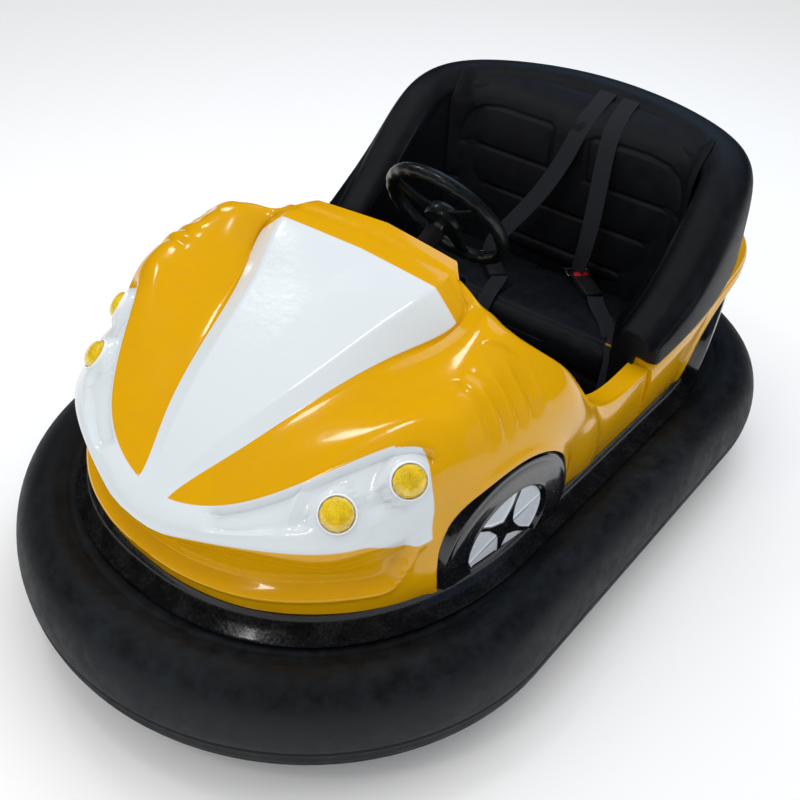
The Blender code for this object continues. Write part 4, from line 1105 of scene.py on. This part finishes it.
# each place along a spoke: reach from the hub, half width, lift and half thickness
SPOKE = ((.030, .024, -.006, .006), (.055, .019, -.007, .0055), (.085, .0155, -.005, .005),
         (.108, .0150, -.002, .0048), (.131, .019, 0, .005))
SPOKE_SECTION = ((-1, -.6), (-.8, -1), (.8, -1), (1, -.6), (1, .6), (.8, 1), (.2, .8), (-.2, .8),
                 (-.8, 1), (-1, .6))
HUB_PROFILE = ((.001, .0115), (.018, .0112), (.034, .0085), (.041, .004), (.0435, -.004),
               (.0435, -.018), (.040, -.024), (.024, -.0265), (.001, -.0265))
rings = []
for step in range(GRIP_STEPS):
    turn = step / GRIP_STEPS * math.tau
    ring = []
    for around in range(GRIP_SIDES):
        lean = around / GRIP_SIDES * math.tau
        swell = 1 + .07 * math.cos(FINGER_BUMPS * turn) * max(0, -math.sin(lean))
        reach = steer_radius + .0135 * swell * math.cos(lean)
        point = Vector((reach * math.cos(turn), reach * math.sin(turn), .0145 * swell * math.sin(lean)))
        ring.append(list(steer_centre + steer_turn @ point))
    rings.append(ring)
grip = loft("steering_wheel_grip", np.array(rings), grip_black)
belongs(grip, "steering", "grip_black", "steering_wheel")
for spoke in range(3):
    angle = math.radians(-90 + spoke * 120)
    out = Vector((math.cos(angle), math.sin(angle), 0))
    aside = Vector((-out.y, out.x, 0))
    rings = []
    for reach, half_width, lift, thick in SPOKE:
        ring = []
        for w, h in SPOKE_SECTION:
            point = out * reach + aside * (w * half_width) + Vector((0, 0, lift + h * thick))
            ring.append(list(steer_centre + steer_turn @ point))
        rings.append(ring)
    spoke_piece = loft("steering_spoke_" + str(spoke + 1), smooth_through(np.array(rings), 6), grip_black,
                       close_along=False)
    belongs(spoke_piece, "steering", "grip_black")
hub_cap = loft("steering_hub_cap", turned(HUB_PROFILE, 64, steer_centre, steer_turn), grip_black)
belongs(hub_cap, "steering", "grip_black")
finish_node("steering_shaft", zinc_steel)
black_lining = blotched_finish("black_lining", (.0045, .0045, .0050), (.010, .010, .011), .6, 9.0, .55, .2,
                         350.0, .0006)
finish_node("steering_column", black_lining)


# The cockpit: lined panels, a ribbed rubber mat, the pedal, and the batteries' plain case.
mat_rubber = blotched_finish("mat_rubber", (.007, .007, .008), (.022, .021, .020), .7, 12.0, .7, .2, 500.0, .0006)
battery_case = blotched_finish("battery_case", (.015, .015, .017), (.04, .04, .04), .4, 14.0, .5, .2, 300.0, .0003)
for word in ("seat_base", "dash_panel"):
    finish_node(word, black_lining)
finish_node("battery_block", battery_case)
finish_node("foot_pedal", zinc_steel)
mat_low, mat_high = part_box("floor_mat")
RIBS = 40
RIB_HEIGHT = .002
MAT_EDGE = .006
valley = mat_high.z - RIB_HEIGHT
section = [(mat_low.x, mat_low.z), (mat_low.x, valley)]
for rib_at in range(RIBS):
    x0 = mat_low.x + MAT_EDGE + (mat_high.x - mat_low.x - MAT_EDGE * 2) * rib_at / RIBS
    pitch = (mat_high.x - mat_low.x - MAT_EDGE * 2) / RIBS
    section += [(x0, valley), (x0 + pitch * .15, mat_high.z), (x0 + pitch * .5, mat_high.z),
                (x0 + pitch * .65, valley)]
section += [(mat_high.x, valley), (mat_high.x, mat_low.z)]
rings = np.array([[(x, y_at, z_at) for x, z_at in section] for y_at in (mat_low.y, mat_high.y)])
ribbed_mat = loft("ribbed_floor_mat", rings, mat_rubber, close_along=False, angle=20)
belongs(ribbed_mat, "chassis", "mat_rubber", "floor_mat")


# The running gear: cast hubs with solid rubber tyres, a steel axle, and the grey drive motor.
cast_rim = blotched_finish("cast_rim", (.42, .42, .43), (.20, .19, .18), .6, 24.0, .38, .25, 300.0, .0004,
                     metallic=.9)
wheel_rubber = blotched_finish("wheel_tyre", (.014, .014, .014), (.06, .056, .050), .7, 30.0, .75, .15, 400.0,
                         .0007)
motor_grey = blotched_finish("motor_grey", (.09, .09, .10), (.05, .045, .04), .5, 16.0, .45, .2, 300.0, .0003)
finish_node("rear_axle", zinc_steel)
finish_node("drive_motor", motor_grey)
for word in ("drive", "left_rear", "right_rear"):
    finish_node(word + "_hub", cast_rim)
    finish_node(word + "_tyre", wheel_rubber)
